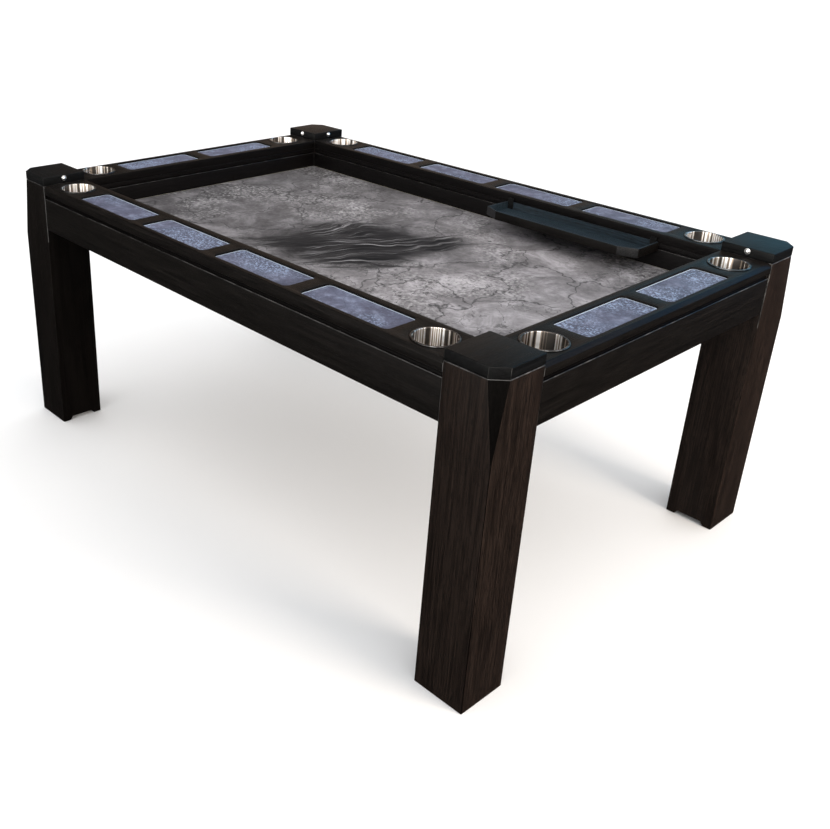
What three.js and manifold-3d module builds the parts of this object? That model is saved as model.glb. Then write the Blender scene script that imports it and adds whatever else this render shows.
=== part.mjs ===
// A gaming table: four square legs, a rail with drop-in cups and printed insets round a sunken play well,
// and a small accessory tray that hangs from a groove in the well's wall.
// Millimetres, +Z up. The origin is on the floor under the middle of the table, +X along its long side.

import * as THREE from 'three';
import { mergeVertices } from 'three/addons/utils/BufferGeometryUtils.js';
import Module from 'manifold-3d';

const wasm = await Module();
wasm.setup();

// Whole table
const TABLE_LENGTH = 1828.8;
const TABLE_WIDTH = 1212.85;
const TABLE_HEIGHT = 812.8;
const JOINT_GAP = 0.3; // glue line or hairline between two fixed pieces
const ARRIS = 1.5; // small bevel that eases a wooden edge

// Legs and their caps
const LEG_SIZE = 136.5;
const CAP_HEIGHT = 24.8;
const CORNER_CUT = 30; // size of the outer corner's cut in plan, at the top of the leg
const CORNER_CUT_DROP = 182; // height over which that cut runs out to nothing
const FOOT_NOTCH_HEIGHT = 12;
const FOOT_NOTCH_WIDTH = 87;
const FOOT_NOTCH_TOP_WIDTH = 71;
const FOOT_NOTCH_DEPTH = 20;

// Rails, aprons and well walls
const RAIL_THICKNESS = 26;
const RAIL_BEVEL = 8.5;
const RAIL_END_EASE = 1;
const SHADOW_GAP = 12; // height of the dark line between rail and apron
const SHADOW_DEPTH = 6;
const APRON_HEIGHT = 96.5;
const APRON_THICKNESS = 16;
const APRON_SETBACK = 2;
const WALL_THICKNESS = 18;
const WALL_BELOW_PLAY = 37;
const GROOVE_HEIGHT = 4.5;
const GROOVE_DEPTH = 8;
const GROOVE_BELOW_RAIL = 12.5;

// Play well
const PLAY_DEPTH = 91; // from the top of the rail down to the play surface
const PLAY_MAT_THICKNESS = 3;
const PLAY_MAT_CLEARANCE = 0.6;
const DECK_THICKNESS = 12.5;
const BEAM_COUNT = 3;
const BEAM_WIDTH = 60;
const BEAM_SPACING = 480;

// Printed insets in the rails
const INSET_WIDTH = 96;
const INSET_CORNER = 14;
const INSET_GAP = 44; // between one recess and the next
const INSET_FROM_CUP = 88.5; // from the middle of the cup to the end of the first recess
const INSET_SUNK = 5; // from the top of the rail down to the printed face
const INSET_MAT_THICKNESS = 2;
const INSET_CLEARANCE = 0.5;
const LONG_SIDE_INSETS = 4;
const SHORT_SIDE_INSETS = 2;

// Drop-in cups
const CUP_RADIUS = 47.5;
const CUP_DEPTH = 66;
const CUP_SHEET = 1.2;
const CUP_RIM_WIDTH = 4;
const CUP_RIM_HEIGHT = 2;
const CUP_BASE_ROUND = 6;
const CUP_CLEARANCE = 0.8;
const CUP_FROM_LEG_LONG_SIDE = 81; // from the leg's side to the middle of the cup
const CUP_FROM_LEG_SHORT_SIDE = 89;
const ROUND_SEGMENTS = 32;

// Sprung catches in the inner faces of the caps
const CATCH_RADIUS = 5.5;
const CATCH_SHANK = 10;
const CATCH_TRAVEL = 4;
const CATCH_CLEARANCE = 0.4;
const CATCH_BELOW_TOP = 9.8;
const CATCH_SEGMENTS = 16;

// Accessory tray
const TRAY_LENGTH = 506;
const TRAY_DEPTH = 125;
const TRAY_HEIGHT = 25;
const TRAY_CENTRE_X = 355;
const TRAY_BELOW_GROOVE = 4; // from the bottom of the groove down to the tray's underside
const TRAY_CUT_LENGTH = 50;
const TRAY_CUT_DEPTH = 24;
const TRAY_WALL = 5;
const TRAY_FLOOR = 4;
const TRAY_CLEARANCE = 1; // between the tray's back and the well's wall
const TONGUE_FROM_END = 23;
const TONGUE_CLEARANCE = 0.6;
const HANGER_WIDTH = 18;
const HANGER_THICKNESS = 3;
const HANGER_RISE = 12; // how far a hanger stands above the tray's lip

// Heights that follow from those sizes
const RAIL_TOP = TABLE_HEIGHT - CAP_HEIGHT;
const RAIL_BOTTOM = RAIL_TOP - RAIL_THICKNESS;
const APRON_TOP = RAIL_BOTTOM - SHADOW_GAP;
const APRON_BOTTOM = APRON_TOP - APRON_HEIGHT;
const GROOVE_TOP = RAIL_BOTTOM - GROOVE_BELOW_RAIL;
const GROOVE_BOTTOM = GROOVE_TOP - GROOVE_HEIGHT;
const PLAY_TOP = RAIL_TOP - PLAY_DEPTH;
const DECK_TOP = PLAY_TOP - PLAY_MAT_THICKNESS - JOINT_GAP;
const DECK_BOTTOM = DECK_TOP - DECK_THICKNESS;
const WALL_BOTTOM = PLAY_TOP - WALL_BELOW_PLAY;
const TRAY_BOTTOM = GROOVE_BOTTOM - TRAY_BELOW_GROOVE;

// Spans between the legs, which are also the size of the play well
const WELL_LENGTH = TABLE_LENGTH - 2 * LEG_SIZE;
const WELL_WIDTH = TABLE_WIDTH - 2 * LEG_SIZE;

function finish(color, roughness, metalness) {
  return new THREE.MeshStandardMaterial({ color, roughness, metalness });
}

const stainedOak = () => finish('#1d1815', 0.5, 0);
const darkBoard = () => finish('#171413', 0.8, 0);
const polishedSteel = () => finish('#c9c6c1', 0.15, 1);
const printedInset = () => finish('#7f8194', 0.75, 0);
const printedPlayMat = () => finish('#86827f', 0.85, 0);

function addPiece(parent, name, geometry, material) {
  const mesh = new THREE.Mesh(geometry, material);
  mesh.name = name;
  parent.add(mesh);
  return mesh;
}

// ---- Solids -------------------------------------------------------------------------------------------

function toSolid(geometry) {
  const bare = geometry.clone();
  bare.deleteAttribute('normal');
  bare.deleteAttribute('uv');
  const merged = mergeVertices(bare);
  const vertProperties = new Float32Array(merged.attributes.position.array);
  const triVerts = new Uint32Array(merged.index.array);
  return new wasm.Manifold(new wasm.Mesh({ numProp: 3, vertProperties, triVerts }));
}

function toGeometry(solid) {
  const mesh = solid.getMesh();
  const geometry = new THREE.BufferGeometry();
  geometry.setAttribute('position', new THREE.BufferAttribute(new Float32Array(mesh.vertProperties), 3));
  geometry.setIndex(new THREE.BufferAttribute(new Uint32Array(mesh.triVerts), 1));
  return geometry;
}

function cutFrom(body, cutters) {
  let solid = toSolid(body);
  for (const cutter of cutters) {
    solid = solid.subtract(toSolid(cutter));
  }
  return toGeometry(solid);
}

function outlineShape(points) {
  return new THREE.Shape(points.map(([x, y]) => new THREE.Vector2(x, y)));
}

// Extrudes a shape upwards from z = 0 with its end edges eased by the given bevel.
function easedExtrusion(shape, height, bevel) {
  const geometry = new THREE.ExtrudeGeometry(shape, {
    depth: height - 2 * bevel,
    bevelEnabled: bevel > 0,
    bevelThickness: bevel,
    bevelSize: bevel,
    bevelOffset: -bevel,
    bevelSegments: 1,
    curveSegments: 4,
  });
  return geometry.translate(0, 0, bevel);
}

// Turns a section drawn as (outward, up) into a board that is centred on x = 0 and runs along X.
function boardFromSection(points, length, bevel) {
  const geometry = easedExtrusion(outlineShape(points), length, bevel);
  geometry.translate(0, 0, -length / 2);
  const outward = new THREE.Vector3(0, 1, 0);
  const up = new THREE.Vector3(0, 0, 1);
  const along = new THREE.Vector3(1, 0, 0);
  return geometry.applyMatrix4(new THREE.Matrix4().makeBasis(outward, up, along));
}

function roundedRectangle(length, width, radius) {
  const shape = new THREE.Shape();
  const right = length / 2 - radius;
  const back = width / 2 - radius;
  shape.absarc(right, back, radius, 0, Math.PI / 2);
  shape.absarc(-right, back, radius, Math.PI / 2, Math.PI);
  shape.absarc(-right, -back, radius, Math.PI, 1.5 * Math.PI);
  shape.absarc(right, -back, radius, 1.5 * Math.PI, 2 * Math.PI);
  return shape;
}

function uprightCylinder(radius, bottom, top, segments) {
  const geometry = new THREE.CylinderGeometry(radius, radius, top - bottom, segments);
  return geometry.rotateX(Math.PI / 2).translate(0, 0, (top + bottom) / 2);
}

// ---- Corners: legs, caps and catches, drawn with the table's outer corner towards +X +Y --------------

function squareOutline(half, cornerCut) {
  return [
    [half, half - cornerCut],
    [half - cornerCut, half],
    [-half + ARRIS, half],
    [-half, half - ARRIS],
    [-half, -half + ARRIS],
    [-half + ARRIS, -half],
    [half - ARRIS, -half],
    [half, -half + ARRIS],
  ];
}

// A wedge that cuts the leg's outer corner: widest at the top, nothing at the lower end.
function cornerWedge(legTop) {
  const cornerReach = (LEG_SIZE / 2) * Math.SQRT2;
  const depthAtTop = CORNER_CUT / Math.SQRT2;
  const overrun = 4;
  const slope = depthAtTop / CORNER_CUT_DROP;
  const section = [
    [cornerReach, legTop - CORNER_CUT_DROP],
    [cornerReach + overrun, legTop - CORNER_CUT_DROP],
    [cornerReach + overrun, legTop + overrun],
    [cornerReach - depthAtTop - slope * overrun, legTop + overrun],
  ];
  const wedge = boardFromSection(section, 3 * depthAtTop, 0);
  return wedge.rotateZ(-Math.PI / 4);
}

// A low notch with sloping ends under the leg's side that faces -Y.
function footNotch() {
  const section = [
    [-FOOT_NOTCH_WIDTH / 2 - 1, -1],
    [FOOT_NOTCH_WIDTH / 2 + 1, -1],
    [FOOT_NOTCH_TOP_WIDTH / 2, FOOT_NOTCH_HEIGHT],
    [-FOOT_NOTCH_TOP_WIDTH / 2, FOOT_NOTCH_HEIGHT],
  ];
  const notch = easedExtrusion(outlineShape(section), FOOT_NOTCH_DEPTH + 1, 0);
  notch.rotateX(Math.PI / 2);
  return notch.translate(0, -LEG_SIZE / 2 + FOOT_NOTCH_DEPTH, 0);
}

function legGeometry() {
  const top = RAIL_TOP - JOINT_GAP;
  const post = easedExtrusion(outlineShape(squareOutline(LEG_SIZE / 2, ARRIS)), top, ARRIS);
  return cutFrom(post, [cornerWedge(top), footNotch(), footNotch().rotateZ(-Math.PI / 2)]);
}

function catchBore() {
  const depth = CATCH_SHANK + CATCH_TRAVEL + CATCH_CLEARANCE;
  const bore = uprightCylinder(CATCH_RADIUS + CATCH_CLEARANCE, -1, depth, CATCH_SEGMENTS);
  bore.rotateX(-Math.PI / 2);
  return bore.translate(0, -LEG_SIZE / 2, CAP_HEIGHT - CATCH_BELOW_TOP);
}

function capGeometry() {
  const block = easedExtrusion(outlineShape(squareOutline(LEG_SIZE / 2, CORNER_CUT)), CAP_HEIGHT, ARRIS);
  return cutFrom(block, [catchBore(), catchBore().rotateZ(-Math.PI / 2)]);
}

// A plunger with a domed end that stands out of the cap's face, drawn with its dome towards -Y.
function catchGeometry() {
  const domeSteps = 4;
  const profile = [new THREE.Vector2(0, -CATCH_SHANK), new THREE.Vector2(CATCH_RADIUS, -CATCH_SHANK)];
  for (let step = 0; step <= domeSteps; step += 1) {
    const angle = (step / domeSteps) * (Math.PI / 2);
    const radius = step === domeSteps ? 0 : CATCH_RADIUS * Math.cos(angle);
    profile.push(new THREE.Vector2(radius, CATCH_RADIUS * Math.sin(angle)));
  }
  return new THREE.LatheGeometry(profile, CATCH_SEGMENTS).rotateX(Math.PI);
}

function addCorner(table, name, x, y, turn) {
  const corner = new THREE.Group();
  corner.position.set(x, y, 0);
  corner.rotation.z = turn;
  table.add(corner);

  addPiece(corner, `leg_${name}`, legGeometry(), stainedOak());
  addPiece(corner, `cap_${name}`, capGeometry(), stainedOak()).position.z = RAIL_TOP;

  for (const [side, angle] of [['a', 0], ['b', -Math.PI / 2]]) {
    const face = new THREE.Group();
    face.rotation.z = angle;
    corner.add(face);
    const plunger = addPiece(face, `catch_${name}_${side}`, catchGeometry(), polishedSteel());
    plunger.position.set(0, -LEG_SIZE / 2, TABLE_HEIGHT - CATCH_BELOW_TOP);
  }
}

// ---- Sides: rail, apron, well wall, cups and insets, drawn with the outside of the table towards +Y --

// The recesses share out the rail between its two cups.
function recessLayout(cupOffset, count) {
  const free = 2 * (cupOffset - INSET_FROM_CUP) - (count - 1) * INSET_GAP;
  const length = free / count;
  const centres = [];
  for (let index = 0; index < count; index += 1) {
    centres.push((index - (count - 1) / 2) * (length + INSET_GAP));
  }
  return { length, centres };
}

// Upright cylinders that clear the two cups of a side.
function cupClearances(cupOffset, middle) {
  const radius = CUP_RADIUS + CUP_CLEARANCE;
  const bottom = RAIL_TOP - CUP_DEPTH - CUP_CLEARANCE;
  const hole = () => uprightCylinder(radius, bottom, RAIL_TOP + 1, ROUND_SEGMENTS);
  return [-1, 1].map((end) => hole().translate(end * cupOffset, middle, 0));
}

function railGeometry(length, edge, cupOffset, recesses) {
  const inner = edge - LEG_SIZE;
  const section = [
    [inner, RAIL_BOTTOM],
    [edge, RAIL_BOTTOM],
    [edge, RAIL_TOP - RAIL_BEVEL],
    [edge - RAIL_BEVEL, RAIL_TOP],
    [inner + ARRIS, RAIL_TOP],
    [inner, RAIL_TOP - ARRIS],
  ];
  const middle = edge - LEG_SIZE / 2;
  const cutters = cupClearances(cupOffset, middle);
  const recessFloor = RAIL_TOP - INSET_SUNK - INSET_MAT_THICKNESS - JOINT_GAP;
  for (const centre of recesses.centres) {
    const outline = roundedRectangle(recesses.length, INSET_WIDTH, INSET_CORNER);
    const recess = easedExtrusion(outline, RAIL_TOP + 1 - recessFloor, 0);
    cutters.push(recess.translate(centre, middle, recessFloor));
  }
  return cutFrom(boardFromSection(section, length, RAIL_END_EASE), cutters);
}

function insetGeometry(recessLength) {
  const length = recessLength - 2 * INSET_CLEARANCE;
  const width = INSET_WIDTH - 2 * INSET_CLEARANCE;
  const outline = roundedRectangle(length, width, INSET_CORNER - INSET_CLEARANCE);
  return easedExtrusion(outline, INSET_MAT_THICKNESS, 0);
}

function apronGeometry(length, edge, cupOffset) {
  const face = edge - APRON_SETBACK;
  const back = face - APRON_THICKNESS;
  const section = [
    [back, APRON_BOTTOM],
    [face - ARRIS, APRON_BOTTOM],
    [face, APRON_BOTTOM + ARRIS],
    [face, APRON_TOP - ARRIS],
    [face - ARRIS, APRON_TOP],
    [face - SHADOW_DEPTH, APRON_TOP],
    [face - SHADOW_DEPTH, RAIL_BOTTOM - JOINT_GAP],
    [back, RAIL_BOTTOM - JOINT_GAP],
  ];
  return cutFrom(boardFromSection(section, length, 0), cupClearances(cupOffset, edge - LEG_SIZE / 2));
}

function wallGeometry(length, edge, cupOffset) {
  const face = edge - LEG_SIZE;
  const back = face + WALL_THICKNESS;
  const section = [
    [face, WALL_BOTTOM],
    [back, WALL_BOTTOM],
    [back, RAIL_BOTTOM - JOINT_GAP],
    [face, RAIL_BOTTOM - JOINT_GAP],
    [face, GROOVE_TOP],
    [face + GROOVE_DEPTH, GROOVE_TOP],
    [face + GROOVE_DEPTH, GROOVE_BOTTOM],
    [face, GROOVE_BOTTOM],
  ];
  return cutFrom(boardFromSection(section, length, 0), cupClearances(cupOffset, edge - LEG_SIZE / 2));
}

// A deep-drawn cup with a rolled rim; z = 0 is the underside of the rim.
function cupGeometry() {
  const inside = CUP_RADIUS - CUP_SHEET;
  const rim = CUP_RADIUS + CUP_RIM_WIDTH;
  const profile = [
    [0, -CUP_DEPTH],
    [CUP_RADIUS - CUP_BASE_ROUND, -CUP_DEPTH],
    [CUP_RADIUS, -CUP_DEPTH + CUP_BASE_ROUND],
    [CUP_RADIUS, 0],
    [rim, 0],
    [rim - 1, CUP_RIM_HEIGHT],
    [inside + 1, CUP_RIM_HEIGHT],
    [inside, CUP_RIM_HEIGHT - 1],
    [inside, -CUP_DEPTH + CUP_BASE_ROUND],
    [inside - CUP_BASE_ROUND + CUP_SHEET, -CUP_DEPTH + CUP_SHEET],
    [0, -CUP_DEPTH + CUP_SHEET],
  ];
  const points = profile.map(([radius, height]) => new THREE.Vector2(radius, height));
  return new THREE.LatheGeometry(points, ROUND_SEGMENTS).rotateX(Math.PI / 2);
}

function addSide(table, side) {
  const group = new THREE.Group();
  group.rotation.z = side.turn;
  table.add(group);

  const length = side.span - 2 * JOINT_GAP;
  const middle = side.edge - LEG_SIZE / 2;
  const cupOffset = side.span / 2 - side.cupFromLeg;
  const recesses = recessLayout(cupOffset, side.insets);
  addPiece(group, `rail_${side.name}`, railGeometry(length, side.edge, cupOffset, recesses), stainedOak());
  addPiece(group, `apron_${side.name}`, apronGeometry(length, side.edge, cupOffset), stainedOak());
  addPiece(group, `wall_${side.name}`, wallGeometry(length, side.edge, cupOffset), stainedOak());

  side.ends.forEach((end, index) => {
    const cup = addPiece(group, `cup_${side.name}_${end}`, cupGeometry(), polishedSteel());
    cup.position.set((index === 0 ? -1 : 1) * cupOffset, middle, RAIL_TOP + JOINT_GAP);
  });
  recesses.centres.forEach((centre, index) => {
    const geometry = insetGeometry(recesses.length);
    const inset = addPiece(group, `inset_${side.name}_${index + 1}`, geometry, printedInset());
    inset.position.set(centre, middle, RAIL_TOP - INSET_SUNK - INSET_MAT_THICKNESS);
  });
}

// ---- Play well floor ----------------------------------------------------------------------------------

function flatPanel(length, width, thickness, top) {
  return new THREE.BoxGeometry(length, width, thickness).translate(0, 0, top - thickness / 2);
}

function addWellFloor(table) {
  const matSlack = 2 * PLAY_MAT_CLEARANCE;
  const mat = flatPanel(WELL_LENGTH - matSlack, WELL_WIDTH - matSlack, PLAY_MAT_THICKNESS, PLAY_TOP);
  addPiece(table, 'play_mat', mat, printedPlayMat());

  const seam = 2 * JOINT_GAP;
  const deck = flatPanel(WELL_LENGTH - seam, WELL_WIDTH - seam, DECK_THICKNESS, DECK_TOP);
  addPiece(table, 'deck', deck, darkBoard());

  const beamTop = DECK_BOTTOM - JOINT_GAP;
  for (let index = 0; index < BEAM_COUNT; index += 1) {
    const beam = flatPanel(BEAM_WIDTH, WELL_WIDTH - seam, beamTop - WALL_BOTTOM, beamTop);
    const placed = addPiece(table, `beam_${index + 1}`, beam, darkBoard());
    placed.position.x = (index - (BEAM_COUNT - 1) / 2) * BEAM_SPACING;
  }
}

// ---- Accessory tray, drawn with its back at y = 0 and its lip towards -Y ------------------------------

function trayOutline(inset) {
  const half = TRAY_LENGTH / 2 - inset;
  const front = -TRAY_DEPTH + inset;
  const cutRise = (TRAY_CUT_DEPTH * inset) / TRAY_CUT_LENGTH;
  return outlineShape([
    [-half, -inset],
    [-half, front + TRAY_CUT_DEPTH - inset + cutRise],
    [-half + TRAY_CUT_LENGTH, front],
    [half - TRAY_CUT_LENGTH, front],
    [half, front + TRAY_CUT_DEPTH - inset + cutRise],
    [half, -inset],
  ]);
}

function addTray(table) {
  const tray = new THREE.Group();
  tray.position.set(TRAY_CENTRE_X, WELL_WIDTH / 2 - TRAY_CLEARANCE, TRAY_BOTTOM);
  table.add(tray);

  const block = easedExtrusion(trayOutline(0), TRAY_HEIGHT, 0);
  const hollow = easedExtrusion(trayOutline(TRAY_WALL), TRAY_HEIGHT, 0).translate(0, 0, TRAY_FLOOR);
  addPiece(tray, 'tray', cutFrom(block, [hollow]), stainedOak());

  const tongueHeight = GROOVE_HEIGHT - 2 * TONGUE_CLEARANCE;
  const tongueDepth = TRAY_CLEARANCE + GROOVE_DEPTH - TONGUE_CLEARANCE - JOINT_GAP;
  const tongue = new THREE.BoxGeometry(TRAY_LENGTH - 2 * TONGUE_FROM_END, tongueDepth, tongueHeight);
  tongue.translate(0, JOINT_GAP + tongueDepth / 2, GROOVE_BOTTOM + GROOVE_HEIGHT / 2 - TRAY_BOTTOM);
  addPiece(tray, 'tray_tongue', tongue, stainedOak());

  const hangerBottom = TRAY_FLOOR + JOINT_GAP;
  const hangerHeight = TRAY_HEIGHT + HANGER_RISE - hangerBottom;
  for (const [side, end] of [['left', -1], ['right', 1]]) {
    const hanger = new THREE.BoxGeometry(HANGER_WIDTH, HANGER_THICKNESS, hangerHeight);
    const placed = addPiece(tray, `tray_hanger_${side}`, hanger, stainedOak());
    placed.position.set(
      end * (TRAY_LENGTH / 2 - TRAY_WALL - JOINT_GAP - HANGER_WIDTH / 2),
      -TRAY_WALL - JOINT_GAP - HANGER_THICKNESS / 2,
      hangerBottom + hangerHeight / 2,
    );
  }
}

// ---- The whole table ----------------------------------------------------------------------------------

const table = new THREE.Group();

const longSide = {
  span: WELL_LENGTH,
  edge: TABLE_WIDTH / 2,
  cupFromLeg: CUP_FROM_LEG_LONG_SIDE,
  insets: LONG_SIDE_INSETS,
};
const shortSide = {
  span: WELL_WIDTH,
  edge: TABLE_LENGTH / 2,
  cupFromLeg: CUP_FROM_LEG_SHORT_SIDE,
  insets: SHORT_SIDE_INSETS,
};
addSide(table, { ...longSide, name: 'back', turn: 0, ends: ['left', 'right'] });
addSide(table, { ...longSide, name: 'front', turn: Math.PI, ends: ['right', 'left'] });
addSide(table, { ...shortSide, name: 'right', turn: -Math.PI / 2, ends: ['back', 'front'] });
addSide(table, { ...shortSide, name: 'left', turn: Math.PI / 2, ends: ['front', 'back'] });

const cornerX = (TABLE_LENGTH - LEG_SIZE) / 2;
const cornerY = (TABLE_WIDTH - LEG_SIZE) / 2;
addCorner(table, 'back_right', cornerX, cornerY, 0);
addCorner(table, 'back_left', -cornerX, cornerY, Math.PI / 2);
addCorner(table, 'front_left', -cornerX, -cornerY, Math.PI);
addCorner(table, 'front_right', cornerX, -cornerY, -Math.PI / 2);

addWellFloor(table);
addTray(table);

export default table;
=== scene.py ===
# %% [markdown]
# # A gaming table
#
# This scene dresses a gaming table: a sunken play well inside a broad rail, with metal cups and printed
# insets let into the rail and a small tray hung in the well. The joints, sizes and places come from a packed
# CAD model, which is loaded first. Each piece is then made again with the soft edges and the fine surface
# that a solid model leaves out, and rides on the body that carries it.

# %% The frame to build on
import math
import bmesh
import bpy
from mathutils import Matrix, Vector


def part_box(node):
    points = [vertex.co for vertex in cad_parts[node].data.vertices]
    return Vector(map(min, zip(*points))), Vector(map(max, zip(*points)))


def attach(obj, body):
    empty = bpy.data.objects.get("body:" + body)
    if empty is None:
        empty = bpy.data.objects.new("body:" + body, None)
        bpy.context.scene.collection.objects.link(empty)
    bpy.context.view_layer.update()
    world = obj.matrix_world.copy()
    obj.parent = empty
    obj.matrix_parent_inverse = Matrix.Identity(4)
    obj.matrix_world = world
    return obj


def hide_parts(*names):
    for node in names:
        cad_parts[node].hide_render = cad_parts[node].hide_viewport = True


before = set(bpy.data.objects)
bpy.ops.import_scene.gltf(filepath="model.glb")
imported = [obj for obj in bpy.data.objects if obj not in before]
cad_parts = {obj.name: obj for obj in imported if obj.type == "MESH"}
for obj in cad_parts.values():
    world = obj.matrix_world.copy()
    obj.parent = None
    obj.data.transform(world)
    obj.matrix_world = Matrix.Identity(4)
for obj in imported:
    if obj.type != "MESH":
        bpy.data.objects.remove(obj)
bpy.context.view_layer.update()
MM = 0.001

# %% [markdown]
# ## Reading places from the frame
#
# Every piece takes its place from the box of the CAD node that it stands for. A side of the table is drawn
# once, with its outside towards +Y, and turned to face the right way, so front, back, left and right share
# their code. A corner is drawn once with the table's outer corner towards +X +Y.

# %% Places and turns
SIDE_TURNS = {"back": 0.0, "front": math.pi, "right": -math.pi / 2, "left": math.pi / 2}
SIDE_ENDS = {
    "back": ("left", "right"),
    "front": ("right", "left"),
    "right": ("back", "front"),
    "left": ("front", "back"),
}
INSET_COUNTS = {"back": 4, "front": 4, "right": 2, "left": 2}
CORNER_TURNS = {
    "back_right": 0.0,
    "back_left": math.pi / 2,
    "front_left": math.pi,
    "front_right": -math.pi / 2,
}


def centre_of(name):
    low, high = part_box(name)
    return (low + high) / 2


def size_of(name, turn=0.0):
    """The node's size along its own length, outwards and up."""
    low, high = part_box(name)
    size = high - low
    sideways = abs(math.sin(turn)) > 0.5
    return Vector((size.y, size.x, size.z)) if sideways else size


def local_centre(name, other, turn):
    """Where a node's middle lies, seen from the middle of another node that is turned."""
    offset = centre_of(name) - centre_of(other)
    return Matrix.Rotation(-turn, 3, "Z") @ offset


rail_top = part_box("rail_front")[1].z
play_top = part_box("play_mat")[1].z
print("Rail top at", round(rail_top, 4), "and play surface at", round(play_top, 4))

# %% [markdown]
# ## Tools for rounded shapes
#
# A machined wooden edge is never sharp: it is eased, and the eased edge is what catches the light. The edges
# could be rounded afterwards with a bevel modifier, but on outlines with holes that is hard to steer. Here
# each outline is rounded first and the solid is then skinned through a stack of loops with the same number
# of points, so each edge gets exactly the curve it needs.

# %% Outlines with rounded corners
MOST_REACH = 0.45


def offset_outline(points, distance):
    """Moves each side of a counter-clockwise outline inwards by a distance."""
    moved = []
    count = len(points)
    for index in range(count):
        a, b, c = (Vector(points[(index + step) % count]) for step in (-1, 0, 1))
        first = (b - a).normalized()
        second = (c - b).normalized()
        first_in = Vector((-first.y, first.x))
        second_in = Vector((-second.y, second.x))
        bend = 1.0 + first_in.dot(second_in)
        moved.append(b + (first_in + second_in) * (distance / bend))
    return moved


def round_corners(points, radius, steps=3):
    """Replaces each corner by an arc, which takes less than half of each side that it joins."""
    rounded = []
    count = len(points)
    for index in range(count):
        a, b, c = (Vector(points[(index + step) % count]) for step in (-1, 0, 1))
        to_a = (a - b).normalized()
        to_c = (c - b).normalized()
        half = to_a.angle(to_c) / 2
        reach = min(radius / math.tan(half), MOST_REACH * (a - b).length, MOST_REACH * (c - b).length)
        bend = reach * math.tan(half)
        middle = b + (to_a + to_c).normalized() * (bend / math.sin(half))
        start = b + to_a * reach - middle
        end = b + to_c * reach - middle
        for step in range(steps + 1):
            share = step / steps
            blended = start * (1 - share) + end * share
            rounded.append(middle + blended.normalized() * bend)
    return rounded


def circle_outline(radius, segments):
    angles = [2 * math.pi * index / segments for index in range(segments)]
    return [Vector((radius * math.cos(angle), radius * math.sin(angle))) for angle in angles]


def rectangle(length, width):
    x = length / 2
    y = width / 2
    return [(x, -y), (x, y), (-x, y), (-x, -y)]


# %% [markdown]
# ## Skinning a stack of loops
#
# A solid that is cut to one outline is a pile of copies of it, like the contour lines of a hill. A band of
# four-sided faces joins each loop to the next one, and a flat face that has holes in it is filled between
# its loops. The faces could come from an extrude and a bevel instead, but then the number of points on each
# loop would be hard to foresee, and the holes' rims have to match.

# %% Loops, bands and flat faces
def add_loop(bm, outline, z, centre=(0.0, 0.0)):
    return [bm.verts.new((point[0] + centre[0], point[1] + centre[1], z)) for point in outline]


def skin(bm, lower, upper, material=0):
    """Joins two loops of equal length with a band of faces; the band faces outwards."""
    count = len(lower)
    for index in range(count):
        following = (index + 1) % count
        face = bm.faces.new((lower[index], lower[following], upper[following], upper[index]))
        face.material_index = material


def skin_stack(bm, loops, material=0):
    for lower, upper in zip(loops, loops[1:]):
        skin(bm, lower, upper, material)


def loop_edges(bm, loop):
    edges = []
    for index, vert in enumerate(loop):
        pair = (vert, loop[(index + 1) % len(loop)])
        edges.append(bm.edges.get(pair) or bm.edges.new(pair))
    return edges


def fill_between(bm, loops):
    """Fills the flat region inside the first loop and outside the others."""
    edges = [edge for loop in loops for edge in loop_edges(bm, loop)]
    bmesh.ops.triangle_fill(bm, use_beauty=True, use_dissolve=False, edges=edges)


def ease(radius, steps=3):
    """Offsets and drops of a quarter round that runs from a flat top over into a side."""
    curve = []
    for step in range(steps + 1):
        angle = math.pi / 2 * step / steps
        curve.append((radius * (1 - math.sin(angle)), radius * (1 - math.cos(angle))))
    return curve


# %% [markdown]
# ## From a mesh to a piece
#
# A built mesh becomes an object once all its faces look outwards. Shading it smooth and marking edges sharp
# by angle keeps the curves soft and the corners crisp, without the extra loops that a subdivision surface
# would need. The piece is then put in its place and told which body carries it, and the CAD nodes that it
# stands for are hidden. A notch or a bore that runs into an eased edge is simpler to cut with a boolean than
# to build.

# %% Turning a mesh into a piece
CREASE = 35.0
JOIN_DISTANCE = 1e-7


def finish_mesh(bm, name, materials, crease=CREASE):
    """Makes an object of the built mesh: smooth where it curves, crisp where it turns a corner."""
    bmesh.ops.remove_doubles(bm, verts=bm.verts, dist=JOIN_DISTANCE)
    bmesh.ops.recalc_face_normals(bm, faces=bm.faces)
    mesh = bpy.data.meshes.new(name)
    bm.to_mesh(mesh)
    bm.free()
    mesh.shade_smooth()
    mesh.set_sharp_from_angle(angle=math.radians(crease))
    for material in materials:
        mesh.materials.append(material)
    piece = bpy.data.objects.new(name, mesh)
    bpy.context.scene.collection.objects.link(piece)
    return piece


def put(piece, place, turn, body, slot, *nodes):
    """Puts a piece in its place, lets it ride on its body and hides the CAD nodes that it stands for."""
    piece.matrix_world = Matrix.Translation(place) @ Matrix.Rotation(turn, 4, "Z")
    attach(piece, body)
    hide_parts(*nodes)
    return piece


def cut_away(piece, cutters):
    """Subtracts closed meshes from a piece, which keeps the result as its mesh."""
    for cutter in cutters:
        modifier = piece.modifiers.new("cut", "BOOLEAN")
        modifier.operation = "DIFFERENCE"
        modifier.solver = "EXACT"
        modifier.object = cutter
    bpy.context.view_layer.update()
    graph = bpy.context.evaluated_depsgraph_get()
    result = bpy.data.meshes.new_from_object(piece.evaluated_get(graph))
    piece.modifiers.clear()
    piece.data = result
    result.set_sharp_from_angle(angle=math.radians(CREASE))
    for cutter in cutters:
        bpy.data.objects.remove(cutter)


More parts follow.
